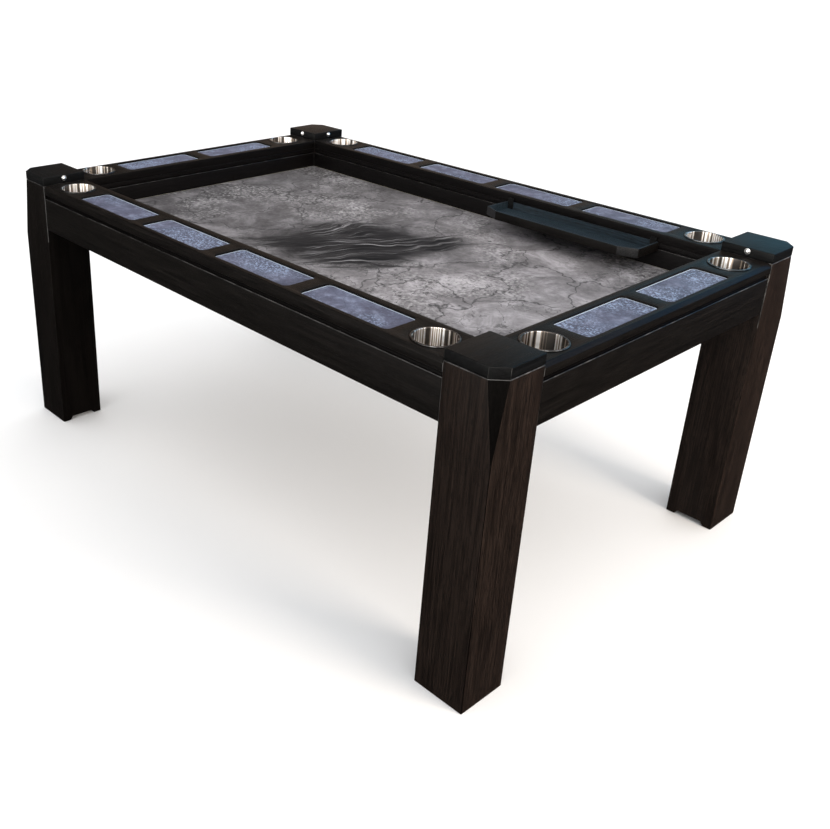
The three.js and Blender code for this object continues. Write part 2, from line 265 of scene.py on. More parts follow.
# %% [markdown]
# ## Small helpers for materials
#
# Every finish is a network of nodes. One helper makes a node, sets its plain values and joins the sockets
# that are given as inputs, so a finish reads from top to bottom like a recipe. The same networks could be
# drawn by hand in the shader editor, but a recipe can be read, compared and used again for the next finish.

# %% Making shader nodes
def node(tree, kind, inputs=None, **settings):
    made = tree.nodes.new(kind)
    for key, value in settings.items():
        setattr(made, key, value)
    for key, value in (inputs or {}).items():
        if isinstance(value, bpy.types.NodeSocket):
            tree.links.new(value, made.inputs[key])
        else:
            made.inputs[key].default_value = value
    return made


def new_finish(name):
    material = bpy.data.materials.new(name)
    material.use_nodes = True
    tree = material.node_tree
    tree.nodes.clear()
    output = tree.nodes.new("ShaderNodeOutputMaterial")
    shader = tree.nodes.new("ShaderNodeBsdfPrincipled")
    tree.links.new(shader.outputs["BSDF"], output.inputs["Surface"])
    return material, tree, shader


def ramp(tree, factor, stops):
    """A colour ramp with stops of (position, colour)."""
    made = node(tree, "ShaderNodeValToRGB", {"Fac": factor})
    elements = made.color_ramp.elements
    while len(elements) < len(stops):
        elements.new(0.5)
    for element, (position, colour) in zip(elements, stops):
        element.position = position
        element.color = (*colour, 1.0)
    return made.outputs["Color"]


def mix(tree, factor, first, second, blend="MIX"):
    inputs = {"Factor": factor}
    made = node(tree, "ShaderNodeMix", inputs, data_type="RGBA", blend_type=blend)
    for index, value in ((6, first), (7, second)):
        if isinstance(value, bpy.types.NodeSocket):
            tree.links.new(value, made.inputs[index])
        else:
            made.inputs[index].default_value = (*value, 1.0)
    return made.outputs[2]


# %% [markdown]
# ## Sums between nodes
#
# A finish does small sums with numbers and vectors before they become a colour or a height. In the editor
# each sum is a node of its own with a dozen wires. As functions they read almost like the formula, and a
# weighted sum or a change of range takes one line.

# %% Sums, weights and ranges
def maths(tree, operation, first, second=0.0):
    return node(tree, "ShaderNodeMath", {0: first, 1: second}, operation=operation).outputs["Value"]


def vector_maths(tree, operation, first, second=(0.0, 0.0, 0.0)):
    made = node(tree, "ShaderNodeVectorMath", {0: first, 1: second}, operation=operation)
    return made.outputs["Value" if operation in ("LENGTH", "DOT_PRODUCT") else "Vector"]


def scaled_vector(tree, vector, factor):
    inputs = {0: vector, "Scale": factor}
    return node(tree, "ShaderNodeVectorMath", inputs, operation="SCALE").outputs["Vector"]


def weighted(tree, *shares):
    """The sum of values, each given with its weight."""
    total = maths(tree, "MULTIPLY", *shares[0])
    for value, weight in shares[1:]:
        total = maths(tree, "ADD", total, maths(tree, "MULTIPLY", value, weight))
    return total


def remap(tree, value, low, high, to_low=0.0, to_high=1.0, smooth=False):
    """Stretches one range of values to another one and holds it at both ends."""
    inputs = {"Value": value, "From Min": low, "From Max": high, "To Min": to_low, "To Max": to_high}
    kind = "SMOOTHSTEP" if smooth else "LINEAR"
    return node(tree, "ShaderNodeMapRange", inputs, interpolation_type=kind).outputs["Result"]


# %% [markdown]
# ## Noise and a piece's own coordinates
#
# Noise needs coordinates to be drawn in. Texture maps would need every piece unwrapped, while a piece's own
# coordinates come for free and keep their scale. They are shifted by the piece's place, so no two boards
# carry the same figure. Last comes a helper that joins a finish's colour, roughness and relief to its
# shader.

# %% Noise, coordinates and the surface
def noise(tree, vector, scale, detail=4.0, rough=0.5, distortion=0.0):
    inputs = {
        "Vector": vector,
        "Scale": scale,
        "Detail": detail,
        "Roughness": rough,
        "Distortion": distortion,
    }
    return node(tree, "ShaderNodeTexNoise", inputs).outputs["Fac"]


def stretched(tree, vector, scale, rotation=(0.0, 0.0, 0.0)):
    inputs = {"Vector": vector, "Rotation": rotation, "Scale": scale}
    return node(tree, "ShaderNodeMapping", inputs).outputs["Vector"]


def own_coordinates(tree):
    """Each piece's own coordinates, shifted by where it stands, so no two boards look alike."""
    coordinates = node(tree, "ShaderNodeTexCoord").outputs["Object"]
    place = node(tree, "ShaderNodeObjectInfo").outputs["Location"]
    spread = vector_maths(tree, "MULTIPLY", place, (3.7, 2.9, 5.3))
    return vector_maths(tree, "ADD", coordinates, spread)


def coat(tree, shader, colour, rough, height, strength, depth=0.0002):
    """Joins colour, roughness and relief to a shader; an even roughness is given as a plain number."""
    bump = node(tree, "ShaderNodeBump", {"Strength": strength, "Distance": depth, "Height": height})
    tree.links.new(colour, shader.inputs["Base Color"])
    tree.links.new(bump.outputs["Normal"], shader.inputs["Normal"])
    if isinstance(rough, bpy.types.NodeSocket):
        tree.links.new(rough, shader.inputs["Roughness"])
    else:
        shader.inputs["Roughness"].default_value = rough


# %% [markdown]
# ## Stained oak
#
# The table is oak under a nearly black espresso stain. The stain hides the colour of the wood but not its
# texture: soft streaks of earlywood run along each board, the open pores show as short dark dashes, and the
# satin lacquer over them gives a low, slightly broken sheen. The streaks are noise stretched along the
# grain, and the same dashes that darken the colour also dent the surface, so the light picks them out.

# %% Grain
def grain_noise(tree, vector, along, length, width, detail, rough):
    """Noise drawn out along one axis: features are about `length` long and `width` wide."""
    scale = [1 / width] * 3
    scale[along] = 1 / length
    return noise(tree, stretched(tree, vector, scale), 1.0, detail, rough)


def growth_rings(tree, vector, along, turns):
    """Nested long arches, as where a board is sawn across the rings."""
    field = grain_noise(tree, vector, along, 0.62, 0.075, 1.0, 0.4)
    waves = maths(tree, "SINE", maths(tree, "MULTIPLY", field, 2 * math.pi * turns))
    return maths(tree, "ADD", maths(tree, "MULTIPLY", waves, 0.5), 0.5)


# %% [markdown]
# ## Oak in its different places
#
# No two boards take a stain alike, and the same stain looks browner on an upright leg than on a flat rail.
# One recipe makes all the oak, so the grain stays the same wood everywhere, and only the tone, the contrast
# of the streaks and the gloss change. The grain has to run along each board: axis 0 for a board that lies
# flat and axis 2 for a post. A separate network for each place could be tuned further, but would soon drift
# apart.

# %% The oak finish
ALONG_X = 0
ALONG_Z = 2


def stained_oak(name, along, tone, contrast=1.0, gloss=0.1):
    """Dark stained oak with its grain along one of the piece's own axes."""
    material, tree, shader = new_finish(name)
    place = own_coordinates(tree)
    wander = noise(tree, place, 3.1, 2.0)
    bend = maths(tree, "MULTIPLY", maths(tree, "SUBTRACT", wander, 0.5), 0.02)
    bent = vector_maths(tree, "ADD", place, bend)

    rings = growth_rings(tree, bent, along, 9.0)
    streaks = grain_noise(tree, bent, along, 0.3, 0.0028, 4.0, 0.55)
    shade = grain_noise(tree, bent, along, 1.1, 0.09, 2.0, 0.5)
    dashes = grain_noise(tree, bent, along, 0.02, 0.0012, 1.0, 0.4)
    crowding = maths(tree, "ADD", dashes, maths(tree, "MULTIPLY", rings, 0.05))
    pores = remap(tree, crowding, 0.56, 0.68)

    figure = weighted(tree, (rings, 0.08), (streaks, 0.78), (shade, 0.14))
    spread = 0.16 / contrast
    dark = tuple(0.5 * share for share in tone)
    light = tuple(1.75 * share for share in tone)
    colour = ramp(tree, figure, [(0.5 - spread, dark), (0.5, tone), (0.5 + spread, light)])
    colour = mix(tree, maths(tree, "MULTIPLY", pores, 0.8), colour, (0.0018, 0.0014, 0.0012))

    rough = remap(tree, streaks, 0.3, 0.7, 0.4, 0.54)
    relief = maths(tree, "SUBTRACT", maths(tree, "MULTIPLY", streaks, 0.35), pores)
    coat(tree, shader, colour, rough, relief, 0.6, 0.00025)
    shader.inputs["Specular IOR Level"].default_value = gloss
    return material


oak_lengthways = stained_oak("oak_lengthways", ALONG_X, (0.0034, 0.0028, 0.0024), contrast=1.3, gloss=0.08)
oak_lining = stained_oak("oak_lining", ALONG_X, (0.0026, 0.0022, 0.0022), contrast=0.9, gloss=0.06)
oak_upright = stained_oak("oak_upright", ALONG_Z, (0.0088, 0.0056, 0.0042), contrast=1.5)
# A darker copy for the front left leg: painted shade.
oak_upright_shaded = stained_oak("oak_upright_painted_shade", ALONG_Z, (0.0026, 0.002, 0.0017), contrast=1.2, gloss=0.05)
oak_facet = stained_oak("oak_facet", ALONG_Z, (0.0012, 0.001, 0.0009), contrast=0.8, gloss=0.02)
# Almost black for the recess under the rails: painted shade.
oak_shadow = stained_oak("oak_shadow", ALONG_X, (0.0014, 0.0012, 0.0011), contrast=0.8, gloss=0.04)
oak_cap = stained_oak("oak_cap", ALONG_X, (0.0024, 0.0025, 0.0026), contrast=1.2)
# Teal tint for the tray's inside: a painted reflection of the cool light behind the table.
oak_tray_painted_reflection = stained_oak("oak_tray_painted_reflection", ALONG_X, (0.0115, 0.0185, 0.0245))
# A lighter face for the tray's cut corners: painted light.
oak_corner_painted_light = stained_oak("oak_corner_painted_light", ALONG_X, (0.021, 0.0208, 0.0215))

# %% [markdown]
# ## Painted edge highlights
#
# The eased edges of the boards catch the light as fine pale lines at every joint, and these lines are
# painted
# highlights: the narrow rounded faces of chosen edges get their own pale finish, broken up by noise along
# the edge so that the line comes and goes, in a stronger and a weaker version. A vertex colour could mark
# the same edges, but would blur across the faces beside them. On the planed facet of each leg, freshly cut
# grain drinks more stain and turns almost black. The recess under the rails is painted almost black as
# painted shade.

# %% The painted edge highlight finish
# A pale finish, painted onto chosen eased edges as a highlight; noise breaks the painted line up.
def edge_highlight_oak(name, strength):
    material, tree, shader = new_finish(name)
    place = own_coordinates(tree)
    highlight_breakup = noise(tree, place, 26.0, 5.0, 0.65)
    stops = []
    for position, grey in ((0.38, 0.012), (0.5, 0.055), (0.64, 0.18)):
        tone = grey * strength
        stops.append((position, (tone, tone * 0.97, tone * 0.94)))
    coat(tree, shader, ramp(tree, highlight_breakup, stops), 0.4, highlight_breakup, 0.3)
    shader.inputs["Specular IOR Level"].default_value = 0.3
    return material


# Painted edge highlights, a stronger one and a weaker one.
oak_edge_highlight = edge_highlight_oak("oak_edge_highlight", 0.8)
oak_soft_edge_highlight = edge_highlight_oak("oak_soft_edge_highlight", 0.42)

# %% [markdown]
# ## Giving a finish to chosen faces
#
# A piece holds several finishes, and each face says by number which one it shows. The faces could be picked
# by hand in edit mode. Here a short test on a face's middle and direction picks them, so the choice still
# holds when a size changes, and the finish's number is looked up by its name.

# %% Painting faces and painting edge highlights
NARROW = 1.3 * MM
SQUARE_ON = 0.985
FACE_BAND = 0.1 * MM
END_BAND = 0.8 * MM


def paint(piece, material, chosen):
    """Gives a material to the faces whose middle and direction pass the test."""
    index = piece.data.materials.find(material.name)
    for face in piece.data.polygons:
        if chosen(face.center, face.normal):
            face.material_index = index


def paint_edge_highlights(piece, material, chosen):
    """Gives a painted edge highlight material to narrow slanting faces whose middle passes the test."""
    index = piece.data.materials.find(material.name)
    points = piece.data.vertices
    for face in piece.data.polygons:
        shortest = min((points[a].co - points[b].co).length for a, b in face.edge_keys)
        slanting = max(abs(part) for part in face.normal) < SQUARE_ON
        if shortest < NARROW and slanting and chosen(face.center):
            face.material_index = index


# %% [markdown]
# ## Dark board
#
# The deck under the play mat and the beams that carry it are plain board, painted black and left matt. A
# flat dark colour would look like plastic. The paint's fine roller texture and a few cloudy patches make it
# board.

# %% The board finish
def dark_board():
    material, tree, shader = new_finish("dark_board")
    place = own_coordinates(tree)
    clouds = noise(tree, place, 9.0, 3.0)
    roller = noise(tree, place, 900.0, 2.0)
    colour = ramp(tree, clouds, [(0.35, (0.006, 0.0055, 0.005)), (0.7, (0.013, 0.012, 0.011))])
    rough = maths(tree, "ADD", maths(tree, "MULTIPLY", clouds, 0.12), 0.66)
    coat(tree, shader, colour, rough, roller, 0.4)
    shader.inputs["Specular IOR Level"].default_value = 0.3
    return material


board_black = dark_board()

# %% [markdown]
# ## Polished steel
#
# The cups are drawn from thin stainless sheet, which leaves faint upright facets on the wall. They break a
# reflection up into light and dark bars. Real facets would need thousands of faces, so the bars are painted
# reflections: noise that depends only on the direction from the cup's axis paints them into the steel's
# colour, from near black to white, with a trace of bump. The same recipe with weak bars gives the bright
# catches, and the rolled rim, which is painted almost black in place of the dark reflection that it shows.

# %% The steel finish
# Painted reflections: light and dark bars, from near black to white, in the steel's colour.
PAINTED_REFLECTION_BARS = [
    (0.385, (0.04, 0.034, 0.03)),
    (0.435, (0.42, 0.33, 0.25)),
    (0.455, (1.0, 1.0, 1.0)),
    (0.508, (1.0, 1.0, 1.0)),
    (0.528, (0.5, 0.41, 0.33)),
    (0.575, (0.05, 0.042, 0.036)),
]
BRIGHT = (0.78, 0.77, 0.76)
FLATTEN = (1.0, 1.0, 0.0)


def polished_steel(name, bar_strength, plain=BRIGHT):
    material, tree, shader = new_finish(name)
    place = node(tree, "ShaderNodeTexCoord").outputs["Object"]
    direction = vector_maths(tree, "NORMALIZE", vector_maths(tree, "MULTIPLY", place, FLATTEN))
    stand = node(tree, "ShaderNodeObjectInfo").outputs["Location"]
    around = vector_maths(tree, "ADD", direction, vector_maths(tree, "MULTIPLY", stand, (9.1, 7.3, 5.0)))
    broad = noise(tree, around, 2.4, 0.0)
    narrow = noise(tree, around, 5.2, 1.0, 0.35)
    painted_bars = ramp(tree, weighted(tree, (broad, 0.3), (narrow, 0.7)), PAINTED_REFLECTION_BARS)
    colour = mix(tree, bar_strength, plain, painted_bars)
    scratches = noise(tree, stretched(tree, place, (300.0, 300.0, 12.0)), 1.0, 3.0)
    rough = maths(tree, "ADD", maths(tree, "MULTIPLY", scratches, 0.06), 0.34)
    coat(tree, shader, colour, rough, broad, 0.02, 0.001)
    shader.inputs["Metallic"].default_value = 1.0
    return material


def turned_steel():
    """The base of a cup, polished in rings on a lathe."""
    material, tree, shader = new_finish("base_steel")
    place = node(tree, "ShaderNodeTexCoord").outputs["Object"]
    away = vector_maths(tree, "LENGTH", vector_maths(tree, "MULTIPLY", place, FLATTEN))
    marks = noise(tree, node(tree, "ShaderNodeCombineXYZ", {"X": away}).outputs["Vector"], 900.0, 3.0)
    haze = noise(tree, place, 60.0, 3.0)
    shade = weighted(tree, (marks, 0.7), (haze, 0.3))
    colour = ramp(tree, shade, [(0.35, (0.55, 0.53, 0.5)), (0.62, (0.86, 0.84, 0.81))])
    coat(tree, shader, colour, 0.32, marks, 0.25)
    shader.inputs["Metallic"].default_value = 1.0
    return material


cup_steel = polished_steel("cup_steel", 0.97)
plain_steel = polished_steel("plain_steel", 0.15)
base_steel = turned_steel()
# The rim is painted almost black in place of the dark reflection that it shows.
rim_steel_painted_dark = polished_steel("rim_steel_painted_dark", 0.12, (0.045, 0.046, 0.048))

# %% [markdown]
# ## Printed stone
#
# The insets are matt printed pads with a lavender-grey stone picture on them: soft clouds of colour, a dust
# of pale flecks and fine dark veins. The clouds are layered noise. The veins are the borders between the
# cells of a Voronoi texture, bent by more noise so that no line runs straight.

# %% Veins and specks
def veins(tree, vector, scale, width, wobble):
    """Thin dark lines along wavering cell borders: 1 on a line, 0 away from it."""
    drift = node(tree, "ShaderNodeTexNoise", {"Vector": vector, "Scale": scale * 1.7, "Detail": 5.0})
    centred = vector_maths(tree, "SUBTRACT", drift.outputs["Color"], (0.5, 0.5, 0.5))
    moved = vector_maths(tree, "ADD", vector, scaled_vector(tree, centred, wobble))
    inputs = {"Vector": moved, "Scale": scale}
    cells = node(tree, "ShaderNodeTexVoronoi", inputs, feature="DISTANCE_TO_EDGE")
    return remap(tree, cells.outputs["Distance"], 0.0, width, 1.0, 0.0)


def greys(*stops):
    """Stops for a ramp that runs through plain greys."""
    return [(position, (grey,) * 3) for position, grey in stops]


def worn_specks(tree, colour, specks, where, pale, dark):
    """Pale flecks and dark pits of one speckle, laid over a colour where the print is worn."""
    pale_tone, pale_stops = pale
    dark_tone, dark_stops = dark
    flecks = mix(tree, 1.0, ramp(tree, specks, greys(*pale_stops)), where, "MULTIPLY")
    pits = mix(tree, 1.0, ramp(tree, specks, greys(*dark_stops)), where, "MULTIPLY")
    return mix(tree, pits, mix(tree, flecks, colour, pale_tone), dark_tone)


# %% [markdown]
# ## The print on the insets
#
# The insets' print is cloudy all over, but its flecks and pits come and go, as on stone that is worn at one
# end. The flecks could be scattered as tiny discs. Noise that is cut off high gives the same dust with no
# repeat, and the same noise cut off low gives the pits between it.

# %% The inset print
def inset_print():
    material, tree, shader = new_finish("inset_print")
    place = own_coordinates(tree)
    clouds = noise(tree, place, 11.0, 6.0, 0.6)
    patches = noise(tree, place, 38.0, 5.0, 0.62)
    flecks = noise(tree, place, 210.0, 3.0, 0.6)
    cloud_tones = [(0.34, (0.05, 0.052, 0.082)), (0.5, (0.084, 0.083, 0.128)), (0.64, (0.115, 0.126, 0.19))]
    patch_tones = [(0.4, (0.02, 0.025, 0.042)), (0.53, (0.085, 0.093, 0.14)), (0.66, (0.24, 0.28, 0.38))]
    colour = mix(tree, 0.42, ramp(tree, clouds, cloud_tones), ramp(tree, patches, patch_tones))
    worn_end = ramp(tree, noise(tree, place, 5.0, 3.0, 0.55), greys((0.45, 0.1), (0.58, 1.0)))
    pale = ((0.29, 0.38, 0.54), ((0.5, 0.0), (0.62, 0.8)))
    dark = ((0.035, 0.04, 0.065), ((0.38, 0.85), (0.48, 0.0)))
    colour = worn_specks(tree, colour, flecks, worn_end, pale, dark)
    lines = maths(tree, "MULTIPLY", veins(tree, place, 16.0, 0.025, 0.06), 0.7)
    colour = mix(tree, lines, colour, (0.04, 0.045, 0.07))
    rough = maths(tree, "ADD", maths(tree, "MULTIPLY", patches, 0.2), 0.5)
    coat(tree, shader, colour, rough, flecks, 0.25)
    shader.inputs["Specular IOR Level"].default_value = 0.3
    return material


def pad_backing_and_highlight(name, dark, light):
    """The cut edge of a printed pad: pale backing on the play mat, a pale painted highlight on the insets.
    """
    material, tree, shader = new_finish(name)
    place = own_coordinates(tree)
    fibres = noise(tree, place, 600.0, 3.0)
    coat(tree, shader, ramp(tree, fibres, [(0.35, dark), (0.65, light)]), 0.7, fibres, 0.4)
    return material


inset_face = inset_print()
# The insets' pale blue edge is a painted highlight.
inset_edge_highlight = pad_backing_and_highlight("inset_edge_highlight", (0.5, 0.6, 0.72), (0.75, 0.84, 0.95))

# %% [markdown]
# ## The play mat's picture
#
# The mat carries a picture of cracked grey stone with a drift of black smoke across its middle. The smoke is
# an abstract design: streaks of noise that are pulled out along a few directions and faded by soft ovals.
# Painting it as an image would fix its sharpness, while noise stays crisp however close the camera comes.

# %% Smoke
def soft_oval(tree, place, middle, size, turn):
    """1 in the middle of a turned oval and 0 outside it."""
    moved = vector_maths(tree, "ADD", place, (-middle[0], -middle[1], 0.0))
    aligned = stretched(tree, moved, FLATTEN, rotation=(0.0, 0.0, -turn))
    scaled = stretched(tree, aligned, (1 / size[0], 1 / size[1], 0.0))
    return remap(tree, vector_maths(tree, "LENGTH", scaled), 0.1, 1.0, 1.0, 0.0, smooth=True)


def combed_noise(tree, place, turn, fineness):
    """Noise combed into curling strands along a direction."""
    curl = node(tree, "ShaderNodeTexNoise", {"Vector": place, "Scale": 4.5, "Detail": 3.0})
    curled = vector_maths(tree, "ADD", place, scaled_vector(tree, curl.outputs["Color"], 0.16))
    aligned = stretched(tree, curled, (1.0, 1.0, 1.0), rotation=(0.0, 0.0, -turn))
    return noise(tree, stretched(tree, aligned, (4.0, fineness, 1.0)), 1.0, 7.0, 0.65)


def smoke_drift(tree, place, colour, middle, size, turn):
    """Lays one drift of smoke over a colour, ragged along its strands and streaked inside."""
    oval = soft_oval(tree, place, middle, size, turn)
    strands = combed_noise(tree, place, turn, 30.0)
    ragged = maths(tree, "ADD", oval, maths(tree, "MULTIPLY", maths(tree, "SUBTRACT", strands, 0.5), 2.2))
    covered = remap(tree, ragged, 0.3, 1.0, smooth=True)
    near = remap(tree, oval, 0.0, 0.3)
    glints = combed_noise(tree, place, turn + 0.15, 75.0)
    soot_tones = [(0.45, (0.002, 0.002, 0.0025)), (0.55, (0.022, 0.021, 0.022)), (0.66, (0.3, 0.29, 0.3))]
    return mix(tree, maths(tree, "MULTIPLY", covered, near), colour, ramp(tree, glints, soot_tones))


# The ovals that the smoke fills, as middle, half size and turn, in metres and radians.
DRIFTS = (
    ((-0.14, 0.03), (0.28, 0.17), 1.2),
    ((0.07, -0.14), (0.3, 0.16), 0.75),
    ((0.08, 0.07), (0.3, 0.15), 1.05),
    ((-0.13, -0.18), (0.26, 0.16), 0.8),
    ((-0.03, -0.05), (0.36, 0.22), 0.95),
)


def smoke(tree, place, colour):
    """Lays a soft shadow, the smoke's body and its drifts over a colour."""
    shade = soft_oval(tree, place, (-0.06, -0.05), (0.48, 0.38), 0.9)
    colour = mix(tree, maths(tree, "MULTIPLY", shade, 0.6), colour, (0.03, 0.029, 0.03))
    billow = noise(tree, place, 6.5, 8.0, 0.62, 1.6)
    plume = maths(tree, "ADD", soft_oval(tree, place, (-0.03, -0.05), (0.38, 0.28), 1.0), billow)
    body = remap(tree, plume, 0.78, 1.12)
    colour = mix(tree, maths(tree, "MULTIPLY", body, 0.95), colour, (0.005, 0.0048, 0.0055))
    for middle, size, turn in DRIFTS:
        colour = smoke_drift(tree, place, colour, middle, size, turn)
    return colour


# %% [markdown]
# ## The stone under the smoke
#
# The picture is built in layers, as a printer lays inks: clouds of grey, pale worn patches, a darker left
# end, speckle, then long cracks and short ones, and the smoke on top. One noise could drive all of them, but
# real stone looks real because its patches, specks and cracks don't follow each other.

# %% The mat print
def mat_print():
    material, tree, shader = new_finish("mat_print")
    place = node(tree, "ShaderNodeTexCoord").outputs["Object"]
    clouds = noise(tree, place, 2.4, 7.0, 0.6)
    patches = noise(tree, place, 8.0, 9.0, 0.7, 0.5)
    speckle = noise(tree, place, 95.0, 5.0, 0.7)
    cloud_tones = [(0.36, (0.115, 0.107, 0.112)), (0.5, (0.215, 0.2, 0.207)), (0.64, (0.34, 0.32, 0.33))]
    patch_tones = [(0.4, (0.06, 0.057, 0.06)), (0.51, (0.2, 0.19, 0.2)), (0.64, (0.5, 0.475, 0.5))]
    colour = mix(tree, 0.58, ramp(tree, clouds, cloud_tones), ramp(tree, patches, patch_tones))
    lengthways = node(tree, "ShaderNodeSeparateXYZ", {"Vector": place}).outputs["X"]
    dusk = remap(tree, lengthways, -0.5, 0.35, 0.5)
    colour = mix(tree, dusk, (0.0, 0.0, 0.0), colour)

    rubbed = ramp(tree, noise(tree, place, 3.7, 4.0, 0.6), greys((0.47, 0.12), (0.6, 1.0)))
    pale = ((0.46, 0.45, 0.45), ((0.5, 0.0), (0.62, 0.6)))
    dark = ((0.03, 0.03, 0.03), ((0.36, 0.8), (0.46, 0.0)))
    colour = worn_specks(tree, colour, speckle, rubbed, pale, dark)
    long_cracks = maths(tree, "MULTIPLY", veins(tree, place, 3.1, 0.014, 0.34), 0.85)
    colour = mix(tree, long_cracks, colour, (0.02, 0.02, 0.02))
    cracked = ramp(tree, noise(tree, place, 1.9, 2.0), greys((0.44, 0.0), (0.56, 0.85)))
    short_cracks = maths(tree, "MULTIPLY", veins(tree, place, 9.0, 0.02, 0.14), cracked)
    colour = mix(tree, short_cracks, colour, (0.03, 0.029, 0.029))

    colour = smoke(tree, place, colour)
    rough = maths(tree, "ADD", maths(tree, "MULTIPLY", patches, 0.2), 0.55)
    coat(tree, shader, colour, rough, speckle, 0.2)
    shader.inputs["Specular IOR Level"].default_value = 0.1
    return material


mat_face = mat_print()
print("Finishes made:", sorted(material.name for material in bpy.data.materials if material.users))

# %% [markdown]
# ## Legs
#
# Each leg is a square post of laminated oak. A long triangular facet is planed off its outer corner, widest
# under the cap and running out to nothing, and a low notch under the two inner sides keeps the leg off
# uneven floors. The post is skinned through a few loops: the facet needs only one loop where it starts and
# one at the top, because it is a plane. The notches are cut afterwards with a boolean.

# %% The outline of a leg
LEG_EASE = 1.6 * MM
CORNER_CUT = 30 * MM
CORNER_CUT_DROP = 182 * MM


def corner_outline(half, cut, inset, radius):
    """A square with its +X +Y corner cut off, moved inwards and rounded."""
    square = [(half, -half), (half, half - cut), (half - cut, half), (-half, half), (-half, -half)]
    return round_corners(offset_outline(square, inset), radius)


def facet_cut(z, leg_top):
    """Size of the outer corner's facet at a height."""
    share = 1 - (leg_top - z) / CORNER_CUT_DROP
    return max(CORNER_CUT * share, LEG_EASE)


# %% [markdown]
# ## Foot notches
#
# A low notch with sloping ends is sawn under the two inner sides of each leg. As loops it would break up the
# stack of the post, so a closed wedge is made for each notch and subtracted. The wedge reaches a little past
# the wood on its open sides, because a boolean can't tell inside from outside where two faces share a plane.

# %% Cutting the foot notches
PAST_FACE = 2 * MM
NOTCH_HEIGHT = 12 * MM
NOTCH_WIDTH = 87 * MM
NOTCH_TOP_WIDTH = 71 * MM
NOTCH_DEPTH = 20 * MM


def notch_cutter(half, turn):
    """A closed wedge that removes one notch from the side facing -Y, then turned."""
    bm = bmesh.new()
    section = [
        (-NOTCH_WIDTH / 2, 0.0),
        (NOTCH_WIDTH / 2, 0.0),
        (NOTCH_TOP_WIDTH / 2, NOTCH_HEIGHT),
        (-NOTCH_TOP_WIDTH / 2, NOTCH_HEIGHT),
    ]
    spread = PAST_FACE * (NOTCH_WIDTH - NOTCH_TOP_WIDTH) / 2 / NOTCH_HEIGHT
    section[0] = (section[0][0] - spread, -PAST_FACE)
    section[1] = (section[1][0] + spread, -PAST_FACE)
    rings = []
    for y in (-half - PAST_FACE, -half + NOTCH_DEPTH):
        rings.append([bm.verts.new((x, y, z)) for x, z in section])
    skin(bm, rings[0], rings[1])
    bm.faces.new(rings[0])
    bm.faces.new(rings[1])
    bmesh.ops.rotate(bm, verts=bm.verts, matrix=Matrix.Rotation(turn, 3, "Z"))
    return finish_mesh(bm, "notch_cutter", [])


# %% [markdown]
# ## Four posts
#
# One post is drawn four times and turned, so that its facet looks outwards at each corner. It could be made
# once and mirrored, but a mirrored mesh turns its faces inside out, and a turned one doesn't. The edges that
# meet the cap and the aprons get a pale painted highlight, and the front left leg is darker as painted
# shade.

# %% Making the four legs
HIGHLIGHT_LENGTH = 130 * MM


def make_leg(corner, turn, finish):
    name = f"leg_{corner}"
    low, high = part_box(name)
    half = (high.x - low.x) / 2
    top = high.z - low.z
    bm = bmesh.new()
    loops = []
    for inset, rise in ease(LEG_EASE):
        loops.append(add_loop(bm, corner_outline(half, LEG_EASE, inset, LEG_EASE), rise))
    facet_start = top - CORNER_CUT_DROP * (1 - LEG_EASE / CORNER_CUT)
    for z in (facet_start, top - LEG_EASE):
        loops.append(add_loop(bm, corner_outline(half, facet_cut(z, top), 0.0, LEG_EASE), z))
    for inset, drop in reversed(ease(LEG_EASE)[:-1]):
        cut = facet_cut(top - drop, top)
        loops.append(add_loop(bm, corner_outline(half, cut, inset, LEG_EASE), top - drop))
    skin_stack(bm, loops)
    bm.faces.new(list(reversed(loops[0])))
    bm.faces.new(loops[-1])
    leg = finish_mesh(bm, f"post_{corner}", [finish, oak_edge_highlight, oak_facet, oak_soft_edge_highlight])
    cut_away(leg, [notch_cutter(half, 0.0), notch_cutter(half, -math.pi / 2)])
    # Painted highlights: the outer upright edges near the top and the eased top edge get the pale finish.
    paint_edge_highlights(leg, oak_soft_edge_highlight, lambda spot: spot.x * spot.y < 0 and spot.z > top - HIGHLIGHT_LENGTH)
    paint_edge_highlights(leg, oak_edge_highlight, lambda spot: spot.z > top - LEG_EASE)
    paint(leg, oak_facet, lambda spot, out: out.x > 0.5 and out.y > 0.5 and spot.z < top - LEG_EASE)
    centre = centre_of(name)
    return put(leg, (centre.x, centre.y, low.z), turn, "table", "stained_oak", name)


for corner, turn in CORNER_TURNS.items():
    # The front left leg is darker: painted shade.
    finish = oak_upright_shaded if corner == "front_left" else oak_upright
    leg = make_leg(corner, turn, finish)
print("A leg has", len(leg.data.polygons), "faces")

# %% [markdown]
# ## Leg caps
#
# A cap is a separate block on top of the leg, with its grain lying flat instead of upright. Its eased lower
# edge and the leg's eased top edge make a fine V-shaped line between them. Two of its faces carry a sprung
# catch, so each needs a bore. The bore crosses a flat face only, and a boolean with a round cutter makes it
# in one step.

# %% Boring for the catches
CATCH_SEGMENTS = 40
CATCH_RADIUS = 5.5 * MM
BORE_CLEARANCE = 0.4 * MM
BORE_DEPTH = 14.4 * MM


